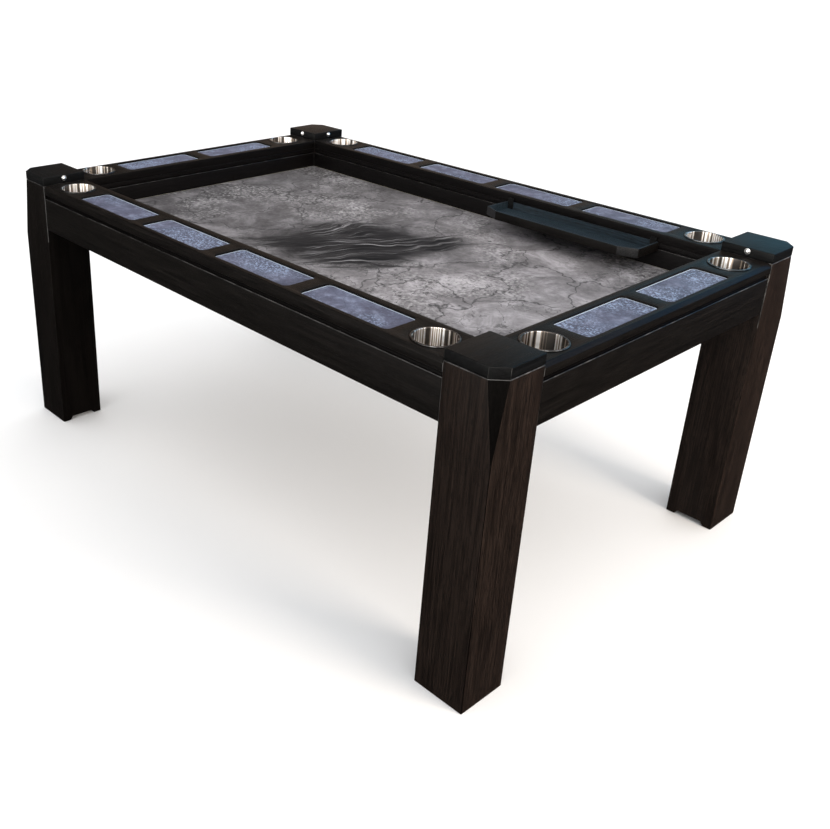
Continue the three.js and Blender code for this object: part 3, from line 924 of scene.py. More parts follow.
def bore_cutter(half, height, turn):
    """A round bore into the face towards -Y, then turned."""
    bm = bmesh.new()
    circle = circle_outline(CATCH_RADIUS + BORE_CLEARANCE, CATCH_SEGMENTS)
    rings = [add_loop(bm, circle, z) for z in (-BORE_DEPTH, PAST_FACE)]
    skin(bm, rings[0], rings[1])
    bm.faces.new(rings[0])
    bm.faces.new(rings[1])
    bmesh.ops.rotate(bm, verts=bm.verts, matrix=Matrix.Rotation(math.pi / 2, 3, "X"))
    bmesh.ops.translate(bm, verts=bm.verts, vec=(0.0, -half, height))
    bmesh.ops.rotate(bm, verts=bm.verts, matrix=Matrix.Rotation(turn, 3, "Z"))
    return finish_mesh(bm, "bore_cutter", [])


# %% [markdown]
# ## Four blocks
#
# Each block is a short stack of loops with its outer corner cut off and all its edges eased. The bores are
# cut while it still stands at the middle of the scene, so the same two cutters serve every corner, and the
# block is only then moved and turned.

# %% Making the four caps
def make_cap(corner, turn):
    name = f"cap_{corner}"
    low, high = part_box(name)
    half = (high.x - low.x) / 2
    height = high.z - low.z
    rounding = ease(LEG_EASE)
    bm = bmesh.new()
    levels = [(inset, rise) for inset, rise in rounding]
    levels += [(inset, height - drop) for inset, drop in reversed(rounding)]
    loops = [add_loop(bm, corner_outline(half, CORNER_CUT, inset, LEG_EASE), z) for inset, z in levels]
    skin_stack(bm, loops)
    bm.faces.new(list(reversed(loops[0])))
    bm.faces.new(loops[-1])
    cap = finish_mesh(bm, f"block_{corner}", [oak_cap, oak_soft_edge_highlight])
    catch_height = centre_of(f"catch_{corner}_a").z - low.z
    cut_away(cap, [bore_cutter(half, catch_height, 0.0), bore_cutter(half, catch_height, -math.pi / 2)])

    def on_cut_corner(spot):
        return LEG_EASE < spot.z < height - LEG_EASE and spot.x > 0 and spot.y > 0

    # Painted highlight on the edges of the cut corner.
    paint_edge_highlights(cap, oak_soft_edge_highlight, on_cut_corner)
    centre = centre_of(name)
    return put(cap, (centre.x, centre.y, low.z), turn, "table", "stained_oak", name)


for corner, turn in CORNER_TURNS.items():
    cap = make_cap(corner, turn)
print("A cap stands", round(cap.dimensions.z, 4), "metres tall")

# %% [markdown]
# ## Turned pieces
#
# Cups, catches and collars are round, so each is a profile of radius and height swept round an axis. Blender
# has a Screw modifier and a spin operator for this. Building the rings directly closes each pole to a single
# point and needs no clean-up afterwards.

# %% Sweeping a profile round
ROUND_CREASE = 50.0


def turned(name, profile, segments, material):
    """Sweeps (radius, height) points round Z; a radius of 0 closes to a single point."""
    bm = bmesh.new()
    rings = []
    for radius, height in profile:
        if radius == 0:
            rings.append([bm.verts.new((0.0, 0.0, height))])
        else:
            rings.append(add_loop(bm, circle_outline(radius, segments), height))
    for lower, upper in zip(rings, rings[1:]):
        if len(lower) == 1 or len(upper) == 1:
            pole = lower[0] if len(lower) == 1 else upper[0]
            ring = upper if len(lower) == 1 else lower
            for index in range(segments):
                bm.faces.new((pole, ring[index], ring[(index + 1) % segments]))
        else:
            skin(bm, lower, upper)
    if len(rings[0]) > 1 and len(rings[-1]) > 1:
        skin(bm, rings[-1], rings[0])
    return finish_mesh(bm, name, [material], ROUND_CREASE)


def arc(middle, radius, start, end, steps):
    """Points on an arc, as (radius, height) pairs, with angles in degrees."""
    points = []
    for step in range(steps + 1):
        angle = math.radians(start + (end - start) * step / steps)
        points.append((middle[0] + radius * math.cos(angle), middle[1] + radius * math.sin(angle)))
    return points


# %% [markdown]
# ## Drop-in cups
#
# Each cup is one piece of drawn steel: a dished base, a rounded foot, a straight wall and a rolled rim that
# rests on the rail and carries the weight. A single surface with a Solidify modifier would look alike, but
# its rim would be square. Here the profile walks up the outside, over the rim and down the inside, one sheet
# thickness apart.

# %% Making the eight cups
CUP_RADIUS = 47.5 * MM
CUP_SHEET = 1.2 * MM
CUP_FOOT = 6 * MM
CUP_DISH = 1.5 * MM
DISH_RADIUS = CUP_RADIUS * 0.35
BASE_RADIUS = CUP_RADIUS * 0.6
CUP_SEGMENTS = 96
RIM_GAP = 0.3 * MM


def cup_profile(depth, rim_radius, rim_height):
    inside = CUP_RADIUS - CUP_SHEET
    bead = rim_height / 2
    base = -depth
    profile = [(0.0, base + CUP_DISH), (DISH_RADIUS, base + CUP_DISH), (BASE_RADIUS, base)]
    profile += arc((CUP_RADIUS - CUP_FOOT, base + CUP_FOOT), CUP_FOOT, -90, 0, 6)
    profile += [(CUP_RADIUS, 0.0)]
    profile += arc((rim_radius - bead, bead), bead, -90, 90, 8)
    profile += arc((inside + bead, bead), bead, 90, 180, 5)
    inner_foot = CUP_FOOT - CUP_SHEET
    floor = base + CUP_SHEET
    profile += reversed(arc((inside - inner_foot, floor + inner_foot), inner_foot, -90, 0, 6))
    profile += [(BASE_RADIUS, floor), (DISH_RADIUS, floor + CUP_DISH), (0.0, floor + CUP_DISH)]
    return profile


def make_cup(side, end):
    name = f"cup_{side}_{end}"
    low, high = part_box(name)
    rim_radius = (high.x - low.x) / 2
    rim_base = rail_top + RIM_GAP
    profile = cup_profile(rim_base - low.z, rim_radius, high.z - rim_base)
    cup = turned(f"steel_{name}", profile, CUP_SEGMENTS, cup_steel)
    cup.data.materials.append(rim_steel_painted_dark)
    cup.data.materials.append(base_steel)
    paint(cup, rim_steel_painted_dark, lambda spot, out: spot.z > 0 and spot.xy.length > CUP_RADIUS - CUP_SHEET / 2)

    def on_base(spot, out):
        return abs(out.z) > 0.7 and spot.z < 0 and spot.xy.length < CUP_RADIUS - CUP_FOOT / 2

    paint(cup, base_steel, on_base)
    centre = centre_of(name)
    return put(cup, (centre.x, centre.y, rim_base), 0.0, f"{name}_body", "polished_steel", name)


for side, ends in SIDE_ENDS.items():
    for end in ends:
        cup = make_cup(side, end)
print("A cup stands", round(cup.dimensions.z, 4), "metres tall")

# %% [markdown]
# ## Sprung catches
#
# A round-nosed plunger stands out of each inner face of the caps and clicks into a dining top when one is
# laid over the well. It slides in a bored hole behind a thin collar. Both could be one turned piece, but
# then the collar would sink into the cap when the catch is pressed. So the collar stays with the cap, and
# the plunger rides on its own body.

# %% Making the catches and their collars
SHANK_LENGTH = 10 * MM
COLLAR_WIDTH = 1.9 * MM
COLLAR_HEIGHT = 0.7 * MM
COLLAR_SUNK = 0.5 * MM


def facing_out(face_turn):
    """Turns a piece made along +Z so that it points out of the face towards -Y."""
    return Matrix.Rotation(face_turn, 4, "Z") @ Matrix.Rotation(math.pi / 2, 4, "X")


def make_catch(corner, letter, turn):
    name = f"catch_{corner}_{letter}"
    face_turn = turn + (0.0 if letter == "a" else -math.pi / 2)
    cap_half = size_of(f"cap_{corner}").x / 2
    outwards = Matrix.Rotation(face_turn, 3, "Z") @ Vector((0.0, -1.0, 0.0))
    cap = centre_of(f"cap_{corner}")
    face = Vector((cap.x, cap.y, centre_of(name).z)) + outwards * cap_half

    nose = arc((0.0, 0.0), CATCH_RADIUS, 0, 90, 8)[:-1] + [(0.0, CATCH_RADIUS)]
    shank = [(0.0, -SHANK_LENGTH), (CATCH_RADIUS, -SHANK_LENGTH)]
    plunger = turned(f"plunger_{corner}_{letter}", shank + nose, CATCH_SEGMENTS, plain_steel)
    plunger.matrix_world = Matrix.Translation(face) @ facing_out(face_turn)
    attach(plunger, f"{name}_body")
    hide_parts(name)

    inner = CATCH_RADIUS + BORE_CLEARANCE
    outer = inner + COLLAR_WIDTH
    profile = [(inner, -COLLAR_SUNK), (outer, -COLLAR_SUNK)]
    profile += arc((outer - COLLAR_HEIGHT, 0.0), COLLAR_HEIGHT, 0, 90, 4)
    profile += [(inner, COLLAR_HEIGHT)]
    collar = turned(f"collar_{corner}_{letter}", profile, CATCH_SEGMENTS, plain_steel)
    collar.matrix_world = Matrix.Translation(face) @ facing_out(face_turn)
    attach(collar, "table")


for corner, turn in CORNER_TURNS.items():
    for letter in ("a", "b"):
        make_catch(corner, letter, turn)
print("Each catch stands out", round(CATCH_RADIUS, 4), "metres from its cap")

# %% [markdown]
# ## Rails
#
# A rail is a broad flat board with a bevel along its outer top edge, a through hole for the cup at each end
# and a shallow recess for each inset. Holes and recesses could be booleans, but their rims need a neat
# rounding all the way, so the board is built in layers: a skinned outside, a flat top filled between the
# outline and the rims, and a rounded wall down into each opening.

# %% The rail's section
RAIL_BEVEL = 8.5 * MM
RAIL_EASE = 1.5 * MM
RIM_EASE = 0.8 * MM


def rail_section(half_width, thickness):
    """The section as (outwards, up) with all its edges rounded."""
    section = [
        (-half_width, 0.0),
        (half_width, 0.0),
        (half_width, thickness - RAIL_BEVEL),
        (half_width - RAIL_BEVEL, thickness),
        (-half_width, thickness),
    ]
    return round_corners(section, RAIL_EASE)


def section_extents(section, z):
    """The innermost and outermost point of a section at a height."""
    tiny = 1e-6
    crossings = []
    for index, first in enumerate(section):
        second = section[(index + 1) % len(section)]
        low, high = sorted((first.y, second.y))
        if low - tiny <= z <= high + tiny:
            if high - low < tiny:
                crossings += [first.x, second.x]
            else:
                share = min(max((z - first.y) / (second.y - first.y), 0.0), 1.0)
                crossings.append(first.x + share * (second.x - first.x))
    return min(crossings), max(crossings)


# %% [markdown]
# ## Openings with a soft rim
#
# A router leaves a sharp rim that is eased by hand, so each hole and recess has a small rounding at the top.
# The rim's first ring lies in the flat top, where it becomes the border of a hole when the top is filled. A
# bevel on a boolean's rim would do the same, but often leaves slivers where the two meet.

# %% Openings in a board
CORNER_STEPS = 8


def opening_rings(bm, outline_at, centre, top, bottom):
    """Rings from the flat top, round the rim and down to the bottom of an opening."""
    rings = []
    for inset, drop in ease(RIM_EASE):
        rings.append(add_loop(bm, outline_at(inset), top - drop, centre))
    rings.append(add_loop(bm, outline_at(0.0), bottom, centre))
    skin_stack(bm, rings)
    return rings


def recess_outline(length, width, radius, grow):
    corners = rectangle(length + 2 * grow, width + 2 * grow)
    return round_corners(corners, radius + grow, CORNER_STEPS)


# %% [markdown]
# ## Four boards
#
# The side of a rail is a stack of loops whose lengths and widths follow the section, with the last
# millimetre at each end pulled in along a quarter round. The top and bottom are then filled between the
# outline and the openings. A board from a plain extruded section would need its ends and its openings
# repaired by hand.

# %% Easing a rail's ends
RAIL_END_EASE = 1.0 * MM
RAIL_CORNER = 1.2 * MM
ROUNDED_TO = 7


def rail_heights(section, thickness):
    """All the heights at which a rail's outline changes."""
    heights = {round(point.y, ROUNDED_TO) for point in section}
    for inset, drop in ease(RAIL_END_EASE):
        heights |= {round(drop, ROUNDED_TO), round(thickness - drop, ROUNDED_TO)}
    return sorted(heights)


def end_pull(edge):
    """How far the ends are pulled in at a distance from the rail's top or bottom."""
    share = max(1 - edge / RAIL_END_EASE, 0.0)
    return RAIL_END_EASE * (1 - math.sqrt(1 - share**2))


def rail_outlines(bm, section, length, thickness):
    loops = []
    for z in rail_heights(section, thickness):
        inner, outer = section_extents(section, z)
        edge = round(min(z, thickness - z), ROUNDED_TO)
        half = length / 2 - end_pull(max(edge, 0.0))
        corners = [(half, inner), (half, outer), (-half, outer), (-half, inner)]
        loops.append(add_loop(bm, round_corners(corners, RAIL_CORNER), z))
    return loops


# %% The openings of a rail
HOLE_SEGMENTS = 64
INSET_CLEARANCE = 0.5 * MM
INSET_CORNER = 14 * MM
INSET_SEAT = 0.3 * MM
CUP_CLEARANCE = 0.8 * MM


def cup_hole(bm, side, end, turn, thickness):
    """The rings of a hole for a cup, right through the board."""
    spot = local_centre(f"cup_{side}_{end}", f"rail_{side}", turn)

    def outline(grow):
        return circle_outline(CUP_RADIUS + CUP_CLEARANCE + grow, HOLE_SEGMENTS)

    return opening_rings(bm, outline, spot.xy, thickness, 0.0)


def inset_recess(bm, side, number, turn, thickness):
    """The rings of a recess for an inset, closed by its floor."""
    inset = f"inset_{side}_{number}"
    rail = f"rail_{side}"
    spot = local_centre(inset, rail, turn)
    pad = size_of(inset, turn)
    length = pad.x + 2 * INSET_CLEARANCE
    width = pad.y + 2 * INSET_CLEARANCE
    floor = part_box(inset)[0].z - INSET_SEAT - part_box(rail)[0].z

    def outline(grow):
        return recess_outline(length, width, INSET_CORNER, grow)

    rings = opening_rings(bm, outline, spot.xy, thickness, floor)
    bm.faces.new(rings[-1])
    return rings


# %% [markdown]
# ## Making the rails
#
# Each rail puts these together: the outlines, then the holes and the recesses, then the flat top and bottom
# between them. The edge towards the well takes the lining's darker stain, and the ends by the caps get a
# pale painted highlight.

# %% Making the four rails
def make_rail(side, turn):
    name = f"rail_{side}"
    size = size_of(name, turn)
    numbers = range(1, INSET_COUNTS[side] + 1)
    bm = bmesh.new()
    loops = rail_outlines(bm, rail_section(size.y / 2, size.z), size.x, size.z)
    skin_stack(bm, loops)
    holes = [cup_hole(bm, side, end, turn, size.z) for end in SIDE_ENDS[side]]
    recesses = [inset_recess(bm, side, number, turn, size.z) for number in numbers]
    fill_between(bm, [loops[-1]] + [rings[0] for rings in holes + recesses])
    fill_between(bm, [loops[0]] + [rings[-1] for rings in holes])
    rail = finish_mesh(bm, f"board_{side}", [oak_lengthways, oak_edge_highlight, oak_lining])
    paint(rail, oak_lining, lambda spot, out: out.y < -0.9 and spot.y < FACE_BAND - size.y / 2)
    # Painted highlight on the eased edges at the rail's ends.
    paint_edge_highlights(rail, oak_edge_highlight, lambda spot: spot.y > 0 and abs(spot.x) > size.x / 2 - END_BAND)
    centre = centre_of(name)
    place = (centre.x, centre.y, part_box(name)[0].z)
    return put(rail, place, turn, "table", "stained_oak", name)


for side, turn in SIDE_TURNS.items():
    rail = make_rail(side, turn)
    print(rail.name, "has", len(rail.data.polygons), "faces")

# %% [markdown]
# ## Printed insets
#
# Each recess holds a thin printed pad with a rounded rim, and its cut edge is a pale line, painted as a
# highlight of the light that the edge catches. A texture could paint that line, but it would have to know
# each pad's size. The face and the edge are separate bands of one mesh instead, so the print stops where the
# edge begins.

# %% Making a pad with a pale edge
PAD_ROUNDING = 0.4 * MM
PAD_LEAST_CORNER = 0.5 * MM
PRINTED = 0
CUT_EDGE = 1


def make_pad(name, node_name, turn, corner, rim, materials, slot):
    size = size_of(node_name, turn)
    bm = bmesh.new()

    def ring(inset, z):
        shape = rectangle(size.x - 2 * inset, size.y - 2 * inset)
        radius = max(corner - inset, PAD_LEAST_CORNER)
        return add_loop(bm, round_corners(shape, radius, CORNER_STEPS), z)

    sides = [ring(0.0, 0.0), ring(0.0, size.z - PAD_ROUNDING)]
    for inset, drop in reversed(ease(PAD_ROUNDING)[:-1]):
        sides.append(ring(PAD_ROUNDING - inset, size.z - drop))
    face = ring(rim, size.z)
    skin_stack(bm, sides + [face], CUT_EDGE)
    bm.faces.new(face).material_index = PRINTED
    bm.faces.new(list(reversed(sides[0]))).material_index = CUT_EDGE
    pad = finish_mesh(bm, name, materials)
    centre = centre_of(node_name)
    return put(pad, (centre.x, centre.y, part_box(node_name)[0].z), turn, "table", slot, node_name)


INSET_RIM = 2.2 * MM
PAD_CORNER = INSET_CORNER - INSET_CLEARANCE
finishes = [inset_face, inset_edge_highlight]
for side, turn in SIDE_TURNS.items():
    for number in range(1, INSET_COUNTS[side] + 1):
        inset = f"inset_{side}_{number}"
        name = f"pad_{side}_{number}"
        pad = make_pad(name, inset, turn, PAD_CORNER, INSET_RIM, finishes, "printed_inset")
print("The last inset measures", [round(size, 4) for size in pad.dimensions], "metres")

# %% [markdown]
# ## The play mat
#
# The play mat is a printed sheet of rubber foam that lies on the deck, wall to wall. It is the same kind of
# pad as an inset, only larger and nearly square at its corners, so the same function makes it. A plane with
# a picture on it would do from above, but would show no edge where the mat meets the wall.

# %% Laying the play mat
MAT_CORNER = 2 * MM
MAT_RIM = 2 * MM
mat_edge = pad_backing_and_highlight("mat_edge", (0.15, 0.14, 0.1), (0.34, 0.32, 0.24))
finishes = [mat_face, mat_edge]
play_mat = make_pad("picture_mat", "play_mat", 0.0, MAT_CORNER, MAT_RIM, finishes, "printed_play_mat")
print("The play mat covers", [round(size, 3) for size in play_mat.dimensions.xy], "metres")

# %% [markdown]
# ## Aprons, well walls and beams
#
# These are straight boards with a shaped section, as they come from a moulder. Each is its rounded section
# drawn out along the board and pulled in a little at its very ends. A curve with a bevel profile could draw
# the same board, but would leave its ends sharp.

# %% Drawing a section out into a board
END_EASE = 0.8 * MM


def make_board(name, section, length, radius, material):
    outline = round_corners(section, radius)
    half = length / 2
    bm = bmesh.new()

    def ring(x, inset):
        return [bm.verts.new((x, point.x, point.y)) for point in offset_outline(outline, inset)]

    steps = [(0.0, END_EASE * 0.6), (END_EASE * 0.3, END_EASE * 0.2), (END_EASE, 0.0)]
    rings = [ring(-half + back, inset) for back, inset in steps]
    rings += [ring(half - back, inset) for back, inset in reversed(steps)]
    skin_stack(bm, rings)
    bm.faces.new(rings[0])
    bm.faces.new(rings[-1])
    board = finish_mesh(bm, name, [material, oak_edge_highlight, oak_shadow, oak_soft_edge_highlight])
    # Painted highlight on the eased edges at the board's ends.
    paint_edge_highlights(board, oak_edge_highlight, lambda spot: abs(spot.x) > half - END_BAND)
    return board


# %% [markdown]
# ## Aprons
#
# An apron stands on edge under each rail and ties the legs together. A step near its top leaves a dark
# shadow line under the rail. The real step casts the right shadow from every side, and its recessed face is
# also painted almost black as painted shade. The step's upper edge gets a pale painted highlight.

# %% Making the aprons
SHADOW_GAP = 12 * MM
SHADOW_DEPTH = 6 * MM
RAIL_OVERLAP = 0.3 * MM
WOOD_EASE = 1.5 * MM


def make_apron(side, turn):
    name = f"apron_{side}"
    size = size_of(name, turn)
    half = size.y / 2
    step = size.z - SHADOW_GAP + RAIL_OVERLAP
    section = [
        (-half, 0.0),
        (half, 0.0),
        (half, step),
        (half - SHADOW_DEPTH, step),
        (half - SHADOW_DEPTH, size.z),
        (-half, size.z),
    ]
    apron = make_board(f"skirt_{side}", section, size.x, WOOD_EASE, oak_lengthways)
    # Painted highlight on the step's upper edge.
    paint_edge_highlights(apron, oak_soft_edge_highlight, lambda spot: spot.y > half - WOOD_EASE and spot.z > step - WOOD_EASE)
    # Painted shade: the recessed face of the step is painted almost black.
    paint(apron, oak_shadow, lambda spot, out: spot.y > half - SHADOW_DEPTH - FACE_BAND and spot.z > step)
    centre = centre_of(name)
    return put(apron, (centre.x, centre.y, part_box(name)[0].z), turn, "table", "stained_oak", name)


for side, turn in SIDE_TURNS.items():
    apron = make_apron(side, turn)
    print(apron.name, "is", round(apron.dimensions.x, 4), "metres long")

# %% [markdown]
# ## Well walls
#
# Four thin boards line the sunken well. A groove runs round all of them, and accessories hang from it by a
# tongue. A groove has to be real geometry, because the tray's tongue slides in it, and it belongs to the
# section, so it costs only four more points.

# %% Making the well walls
GROOVE_HEIGHT = 4.5 * MM
GROOVE_DEPTH = 8 * MM
GROOVE_BELOW_RAIL = 12.5 * MM
WALL_EASE = 0.8 * MM
LIP_BAND = 1 * MM


def make_wall(side, turn):
    name = f"wall_{side}"
    size = size_of(name, turn)
    half = size.y / 2
    groove_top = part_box(f"rail_{side}")[0].z - GROOVE_BELOW_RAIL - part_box(name)[0].z
    groove_bottom = groove_top - GROOVE_HEIGHT
    section = [
        (-half, 0.0),
        (half, 0.0),
        (half, size.z),
        (-half, size.z),
        (-half, groove_top),
        (-half + GROOVE_DEPTH, groove_top),
        (-half + GROOVE_DEPTH, groove_bottom),
        (-half, groove_bottom),
    ]
    wall = make_board(f"lining_{side}", section, size.x, WALL_EASE, oak_lining)

    def on_lip(spot):
        return spot.y < LIP_BAND - half and abs(spot.z - groove_bottom) < LIP_BAND

    # Painted highlight on the groove's lower lip.
    paint_edge_highlights(wall, oak_soft_edge_highlight, on_lip)
    centre = centre_of(name)
    return put(wall, (centre.x, centre.y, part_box(name)[0].z), turn, "table", "stained_oak", name)


for side, turn in SIDE_TURNS.items():
    wall = make_wall(side, turn)
    print(wall.name, "is", round(wall.dimensions.x, 4), "metres long")

# %% [markdown]
# ## Deck and beams
#
# The deck carries the play mat, and three beams under it keep it from sagging. They are seen only from
# below, but a table that is turned over has to look finished as well. Plain boards are enough, drawn out
# like the aprons from a section of four points.

# %% Making the deck and its beams
BOARD_EASE = 1.2 * MM


def make_plain_board(name, node_name, lengthways, material, slot):
    turn = 0.0 if lengthways else math.pi / 2
    size = size_of(node_name, turn)
    half = size.y / 2
    section = [(-half, 0.0), (half, 0.0), (half, size.z), (-half, size.z)]
    board = make_board(name, section, size.x, BOARD_EASE, material)
    centre = centre_of(node_name)
    return put(board, (centre.x, centre.y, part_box(node_name)[0].z), turn, "table", slot, node_name)


deck = make_plain_board("deck_board", "deck", True, board_black, "dark_board")
for number in (1, 2, 3):
    make_plain_board(f"deck_beam_{number}", f"beam_{number}", False, board_black, "dark_board")
print("The deck is", round(deck.dimensions.z, 4), "metres thick")

# %% [markdown]
# ## Accessory tray
#
# The tray is a shallow box with its two front corners cut off, made to match the table. It hangs by a tongue
# in the well's groove and by two small plates that lean on the wall. It could be put together from separate
# boards, as a joiner would, but the stain hides the joints. So one stack of loops makes the whole box: up
# the outside, over the lip, down the inside and across the floor.

# %% Making the tray
TRAY_CUT_LENGTH = 50 * MM
TRAY_CUT_DEPTH = 24 * MM
TRAY_WALL = 5 * MM
TRAY_FLOOR = 4 * MM
TRAY_LIP = 1 * MM
TRAY_INNER_FOOT = 2 * MM
TRAY_CORNER = 1.2 * MM


def tray_outline(half_length, depth, inset):
    corners = [
        (half_length, -depth / 2 + TRAY_CUT_DEPTH),
        (half_length, depth / 2),
        (-half_length, depth / 2),
        (-half_length, -depth / 2 + TRAY_CUT_DEPTH),
        (-half_length + TRAY_CUT_LENGTH, -depth / 2),
        (half_length - TRAY_CUT_LENGTH, -depth / 2),
    ]
    return round_corners(offset_outline(corners, inset), TRAY_CORNER)


def make_tray():
    size = size_of("tray")
    lip = ease(TRAY_LIP)
    foot = ease(TRAY_INNER_FOOT)
    bm = bmesh.new()

    def ring(inset, z):
        return add_loop(bm, tray_outline(size.x / 2, size.y, inset), z)

    loops = [ring(inset, rise) for inset, rise in lip]
    loops += [ring(inset, size.z - drop) for inset, drop in reversed(lip)]
    loops += [ring(TRAY_WALL - inset, size.z - drop) for inset, drop in lip]
    loops += [ring(TRAY_WALL + inset, TRAY_FLOOR + rise) for inset, rise in reversed(foot)]
    skin_stack(bm, loops)
    bm.faces.new(list(reversed(loops[0])))
    bm.faces.new(loops[-1])
    tray = finish_mesh(bm, "tray_box", [oak_tray_painted_reflection, oak_lengthways, oak_corner_painted_light])

    def outside(spot, out):
        return out.xy.dot(spot.xy) > 0.02

    def on_cut_corner(spot, out):
        return outside(spot, out) and spot.y < 0 and min(abs(out.x), abs(out.y)) > 0.2

    # The outside and underside get plain oak; the inside keeps the teal painted reflection.
    paint(tray, oak_lengthways, lambda spot, out: outside(spot, out) or out.z < -0.5)
    # Painted light: the outer faces of the cut corners are lighter.
    paint(tray, oak_corner_painted_light, on_cut_corner)
    centre = centre_of("tray")
    place = (centre.x, centre.y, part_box("tray")[0].z)
    return put(tray, place, 0.0, "accessory_tray", "stained_oak", "tray")


tray = make_tray()
print("The tray is", [round(size, 3) for size in tray.dimensions], "metres")

# %% [markdown]
# ## Tongue and hangers
#
# The tongue is a thin strip behind the tray that slides in the groove, and each hanger is a small upright
# plate with round corners. They could be part of the tray's own mesh, but they are separate strips of wood
# on the real one, and as separate pieces they keep their own grain.

# %% Making the tongue and the hangers
TONGUE_EASE = 0.5 * MM
HANGER_EASE = 0.6 * MM
HANGER_CORNER = 3 * MM
HANGER_STEPS = 5


def make_tongue():
    size = size_of("tray_tongue")
    half = size.y / 2
    section = [(-half, 0.0), (half, 0.0), (half, size.z), (-half, size.z)]
    tongue = make_board("hanging_tongue", section, size.x, TONGUE_EASE, oak_lengthways)
    centre = centre_of("tray_tongue")
    place = (centre.x, centre.y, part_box("tray_tongue")[0].z)
    return put(tongue, place, 0.0, "accessory_tray", "stained_oak", "tray_tongue")


def make_hanger(side):
    name = f"tray_hanger_{side}"
    size = size_of(name)
    half = size.y / 2
    shape = rectangle(size.x, size.z)
    bm = bmesh.new()

    def ring(inset, y):
        outline = round_corners(offset_outline(shape, inset), HANGER_CORNER, HANGER_STEPS)
        return [bm.verts.new((point.x, y, point.y)) for point in outline]

    rings = [ring(HANGER_EASE, -half), ring(0.0, -half + HANGER_EASE)]
    rings += [ring(0.0, half - HANGER_EASE), ring(HANGER_EASE, half)]
    skin_stack(bm, rings)
    bm.faces.new(rings[0])
    bm.faces.new(rings[-1])
    hanger = finish_mesh(bm, f"hanging_plate_{side}", [oak_cap])
    return put(hanger, centre_of(name), 0.0, "accessory_tray", "stained_oak", name)


tongue = make_tongue()
for side in ("left", "right"):
    make_hanger(side)
print("The tongue is", round(tongue.dimensions.x, 4), "metres long")

# %% [markdown]
# ## Camera
#
# The camera stands off the front right corner, above the rail, and looks down across the table at about
# twenty-five degrees. It could be aimed by a constraint, but its angles say plainly how the table is seen. A
# focal length a little over a normal lens, a small shift and a slight roll place the table in the frame.

# %% Placing the camera
CAMERA_PLACE = Vector((1.862, -1.945, 1.566))
CAMERA_AZIMUTH = math.radians(47.23)
CAMERA_PITCH = math.radians(24.78)
CAMERA_ROLL = math.radians(1.77)

sight = Vector(
    (
        -math.sin(CAMERA_AZIMUTH) * math.cos(CAMERA_PITCH),
        math.cos(CAMERA_AZIMUTH) * math.cos(CAMERA_PITCH),
        -math.sin(CAMERA_PITCH),
    )
)
level = Vector((math.cos(CAMERA_AZIMUTH), math.sin(CAMERA_AZIMUTH), 0.0))
upright = level.cross(sight)
rightwards = level * math.cos(CAMERA_ROLL) + upright * math.sin(CAMERA_ROLL)
upwards = upright * math.cos(CAMERA_ROLL) - level * math.sin(CAMERA_ROLL)

lens = bpy.data.cameras.new("camera")
lens.sensor_width = 36.0
lens.lens = 42.85
lens.shift_x = 0.1225
lens.shift_y = -0.0655
lens.clip_end = 200.0
camera = bpy.data.objects.new("camera", lens)
facing = Matrix((rightwards, upwards, -sight)).transposed().to_4x4()
camera.matrix_world = Matrix.Translation(CAMERA_PLACE) @ facing
bpy.context.scene.collection.objects.link(camera)
bpy.context.scene.camera = camera
print("The camera stands", round(CAMERA_PLACE.length, 2), "metres from the middle of the floor")

# %% [markdown]
# ## Floor
#
# A pale studio floor reaches past the edge of every view, so no horizon shows. A curved backdrop is the
# usual way in a studio, but hides the table from behind, and a wide plane works from all sides. It is hidden
# from glossy rays, because dark lacquer that mirrors a white floor turns grey.

# %% The floor
def pale_floor():
    material, tree, shader = new_finish("pale_floor")
    place = node(tree, "ShaderNodeTexCoord").outputs["Object"]
    clouds = noise(tree, place, 0.8, 3.0)
    colour = ramp(tree, clouds, [(0.3, (0.9, 0.9, 0.9)), (0.7, (0.93, 0.93, 0.93))])
    tree.links.new(colour, shader.inputs["Base Color"])
    shader.inputs["Roughness"].default_value = 0.9
    shader.inputs["Specular IOR Level"].default_value = 0.1
    return material


FLOOR_WIDTH = 120.0
FLOOR_DROP = 0.5 * MM


def make_floor():
    bm = bmesh.new()
    bm.faces.new(add_loop(bm, rectangle(FLOOR_WIDTH, FLOOR_WIDTH), -FLOOR_DROP))
    floor = finish_mesh(bm, "floor", [pale_floor()])
    floor.visible_glossy = False
    return floor


floor = make_floor()
print("The floor reaches", round(floor.dimensions.x / 2, 1), "metres each way")

# %% [markdown]
# ## Lights
#
# One very broad sun straight above gives even light whose shadows fade out, like a ceiling of softboxes. An
# area light could do the same near the table, but its light falls off with distance. A warm soft light at
# the right warms the legs on that side. Both are hidden from glossy rays, and the reflections come from the
# surroundings instead.

# %% The lights
def soft_light(name, place, aim, width, height, power, colour):
    light = bpy.data.lights.new(name, "AREA")
    light.shape = "RECTANGLE"
    light.size = width
    light.size_y = height
    light.energy = power
    light.color = colour
    lamp = bpy.data.objects.new(name, light)
    facing = (Vector(aim) - Vector(place)).to_track_quat("-Z", "Y")
    lamp.matrix_world = Matrix.Translation(place) @ facing.to_matrix().to_4x4()
    lamp.visible_glossy = False
    bpy.context.scene.collection.objects.link(lamp)


def broad_sun(strength, spread):
    """Even light from straight above that fades shadows out."""
    light = bpy.data.lights.new("broad_sun", "SUN")
    light.energy = strength
    light.angle = math.radians(spread)
    lamp = bpy.data.objects.new("broad_sun", light)
    lamp.location = (0.0, 0.0, 6.0)
    lamp.visible_glossy = False
    bpy.context.scene.collection.objects.link(lamp)


broad_sun(strength=2.9, spread=150.0)
soft_light(
    "right_side",
    place=(4.4, 0.4, 1.2),
    aim=(0.6, 0.0, 0.4),
    width=1.6,
    height=2.0,
    power=180.0,
    colour=(1.0, 0.88, 0.76),
)

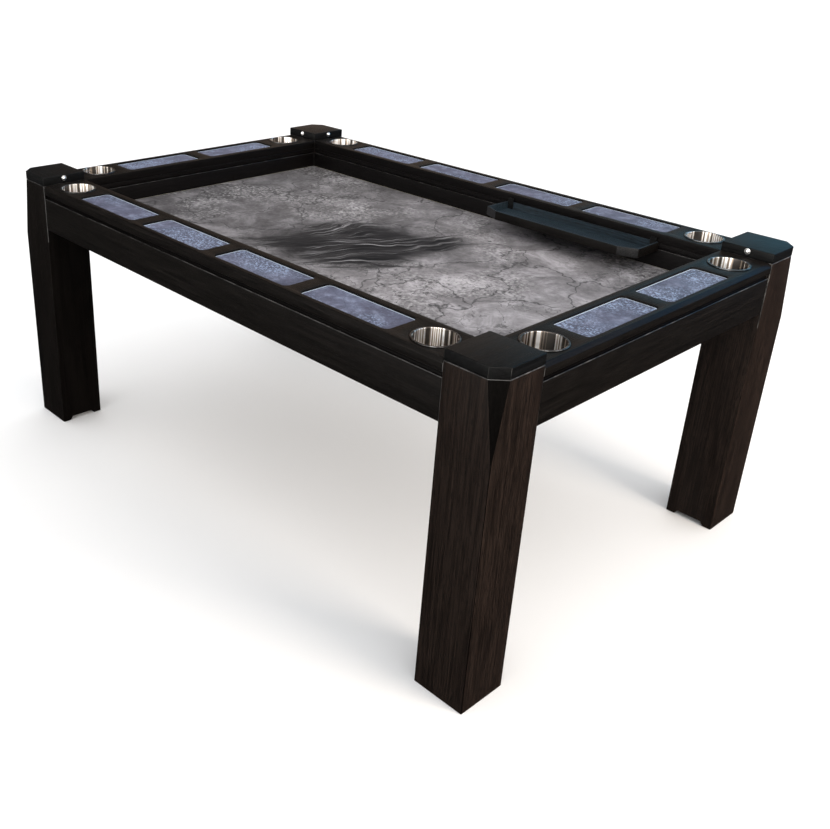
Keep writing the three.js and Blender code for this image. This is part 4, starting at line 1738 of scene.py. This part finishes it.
# %% [markdown]
# ## Surroundings
#
# The world shows something different to each kind of ray. The camera sees plain white, matt surfaces get a
# dim cool light, and glossy ones mirror a dark room with soft patches of light in it: cool ones behind the
# table that glance off the rail tops, and pale ones in front and above that brighten the steel. A light card
# for each would do as well, but a direction with a soft edge is quicker to place.

# %% The surroundings
DARK_ROOM = (0.035, 0.035, 0.038)
# Patches of light as direction, where the edge starts, where it is full, and colour.
PATCHES = (
    ((-0.1, 0.93, 0.36), 0.9, 0.98, (0.32, 1.1, 1.55)),
    ((0.42, 0.78, 0.48), 0.86, 0.97, (0.1, 0.55, 1.35)),
    ((0.5, -0.75, 0.55), 0.84, 0.92, (8.5, 8.3, 8.0)),
    ((-0.05, -0.95, 0.3), 0.86, 0.94, (7.5, 7.4, 7.2)),
    ((-0.62, 0.72, 0.25), 0.93, 0.985, (0.62, 0.44, 0.32)),
    ((1.0, 0.1, 0.5), 0.88, 0.95, (4.5, 4.2, 3.8)),
    ((0.1, 0.1, 1.0), 0.86, 0.95, (2.6, 2.55, 2.5)),
)


def glow(tree, direction, aim, edge, core, colour):
    """A soft patch of light in one direction, as a colour to be added."""
    towards = vector_maths(tree, "DOT_PRODUCT", direction, Vector(aim).normalized())
    amount = remap(tree, towards, edge, core, smooth=True)
    return mix(tree, amount, (0.0, 0.0, 0.0), colour)


def surroundings():
    world = bpy.data.worlds.new("surroundings")
    world.use_nodes = True
    tree = world.node_tree
    tree.nodes.clear()
    direction = node(tree, "ShaderNodeTexCoord").outputs["Generated"]
    mirrored = DARK_ROOM
    for aim, edge, core, colour in PATCHES:
        mirrored = mix(tree, 1.0, mirrored, glow(tree, direction, aim, edge, core, colour), "ADD")
    seen = node(tree, "ShaderNodeBackground", {"Color": (1.0, 1.0, 1.0, 1.0), "Strength": 1.0})
    felt = node(tree, "ShaderNodeBackground", {"Color": (0.97, 0.98, 1.0, 1.0), "Strength": 0.4})
    gloss = node(tree, "ShaderNodeBackground", {"Color": mirrored, "Strength": 1.0})
    rays = node(tree, "ShaderNodeLightPath")
    dull = node(tree, "ShaderNodeMixShader", {0: rays.outputs["Is Glossy Ray"]})
    tree.links.new(felt.outputs[0], dull.inputs[1])
    tree.links.new(gloss.outputs[0], dull.inputs[2])
    both = node(tree, "ShaderNodeMixShader", {0: rays.outputs["Is Camera Ray"]})
    tree.links.new(dull.outputs[0], both.inputs[1])
    tree.links.new(seen.outputs[0], both.inputs[2])
    output = tree.nodes.new("ShaderNodeOutputWorld")
    tree.links.new(both.outputs[0], output.inputs["Surface"])
    bpy.context.scene.world = world


surroundings()
bpy.context.scene.view_settings.view_transform = "Standard"
print("Patches of light in the surroundings:", len(PATCHES))
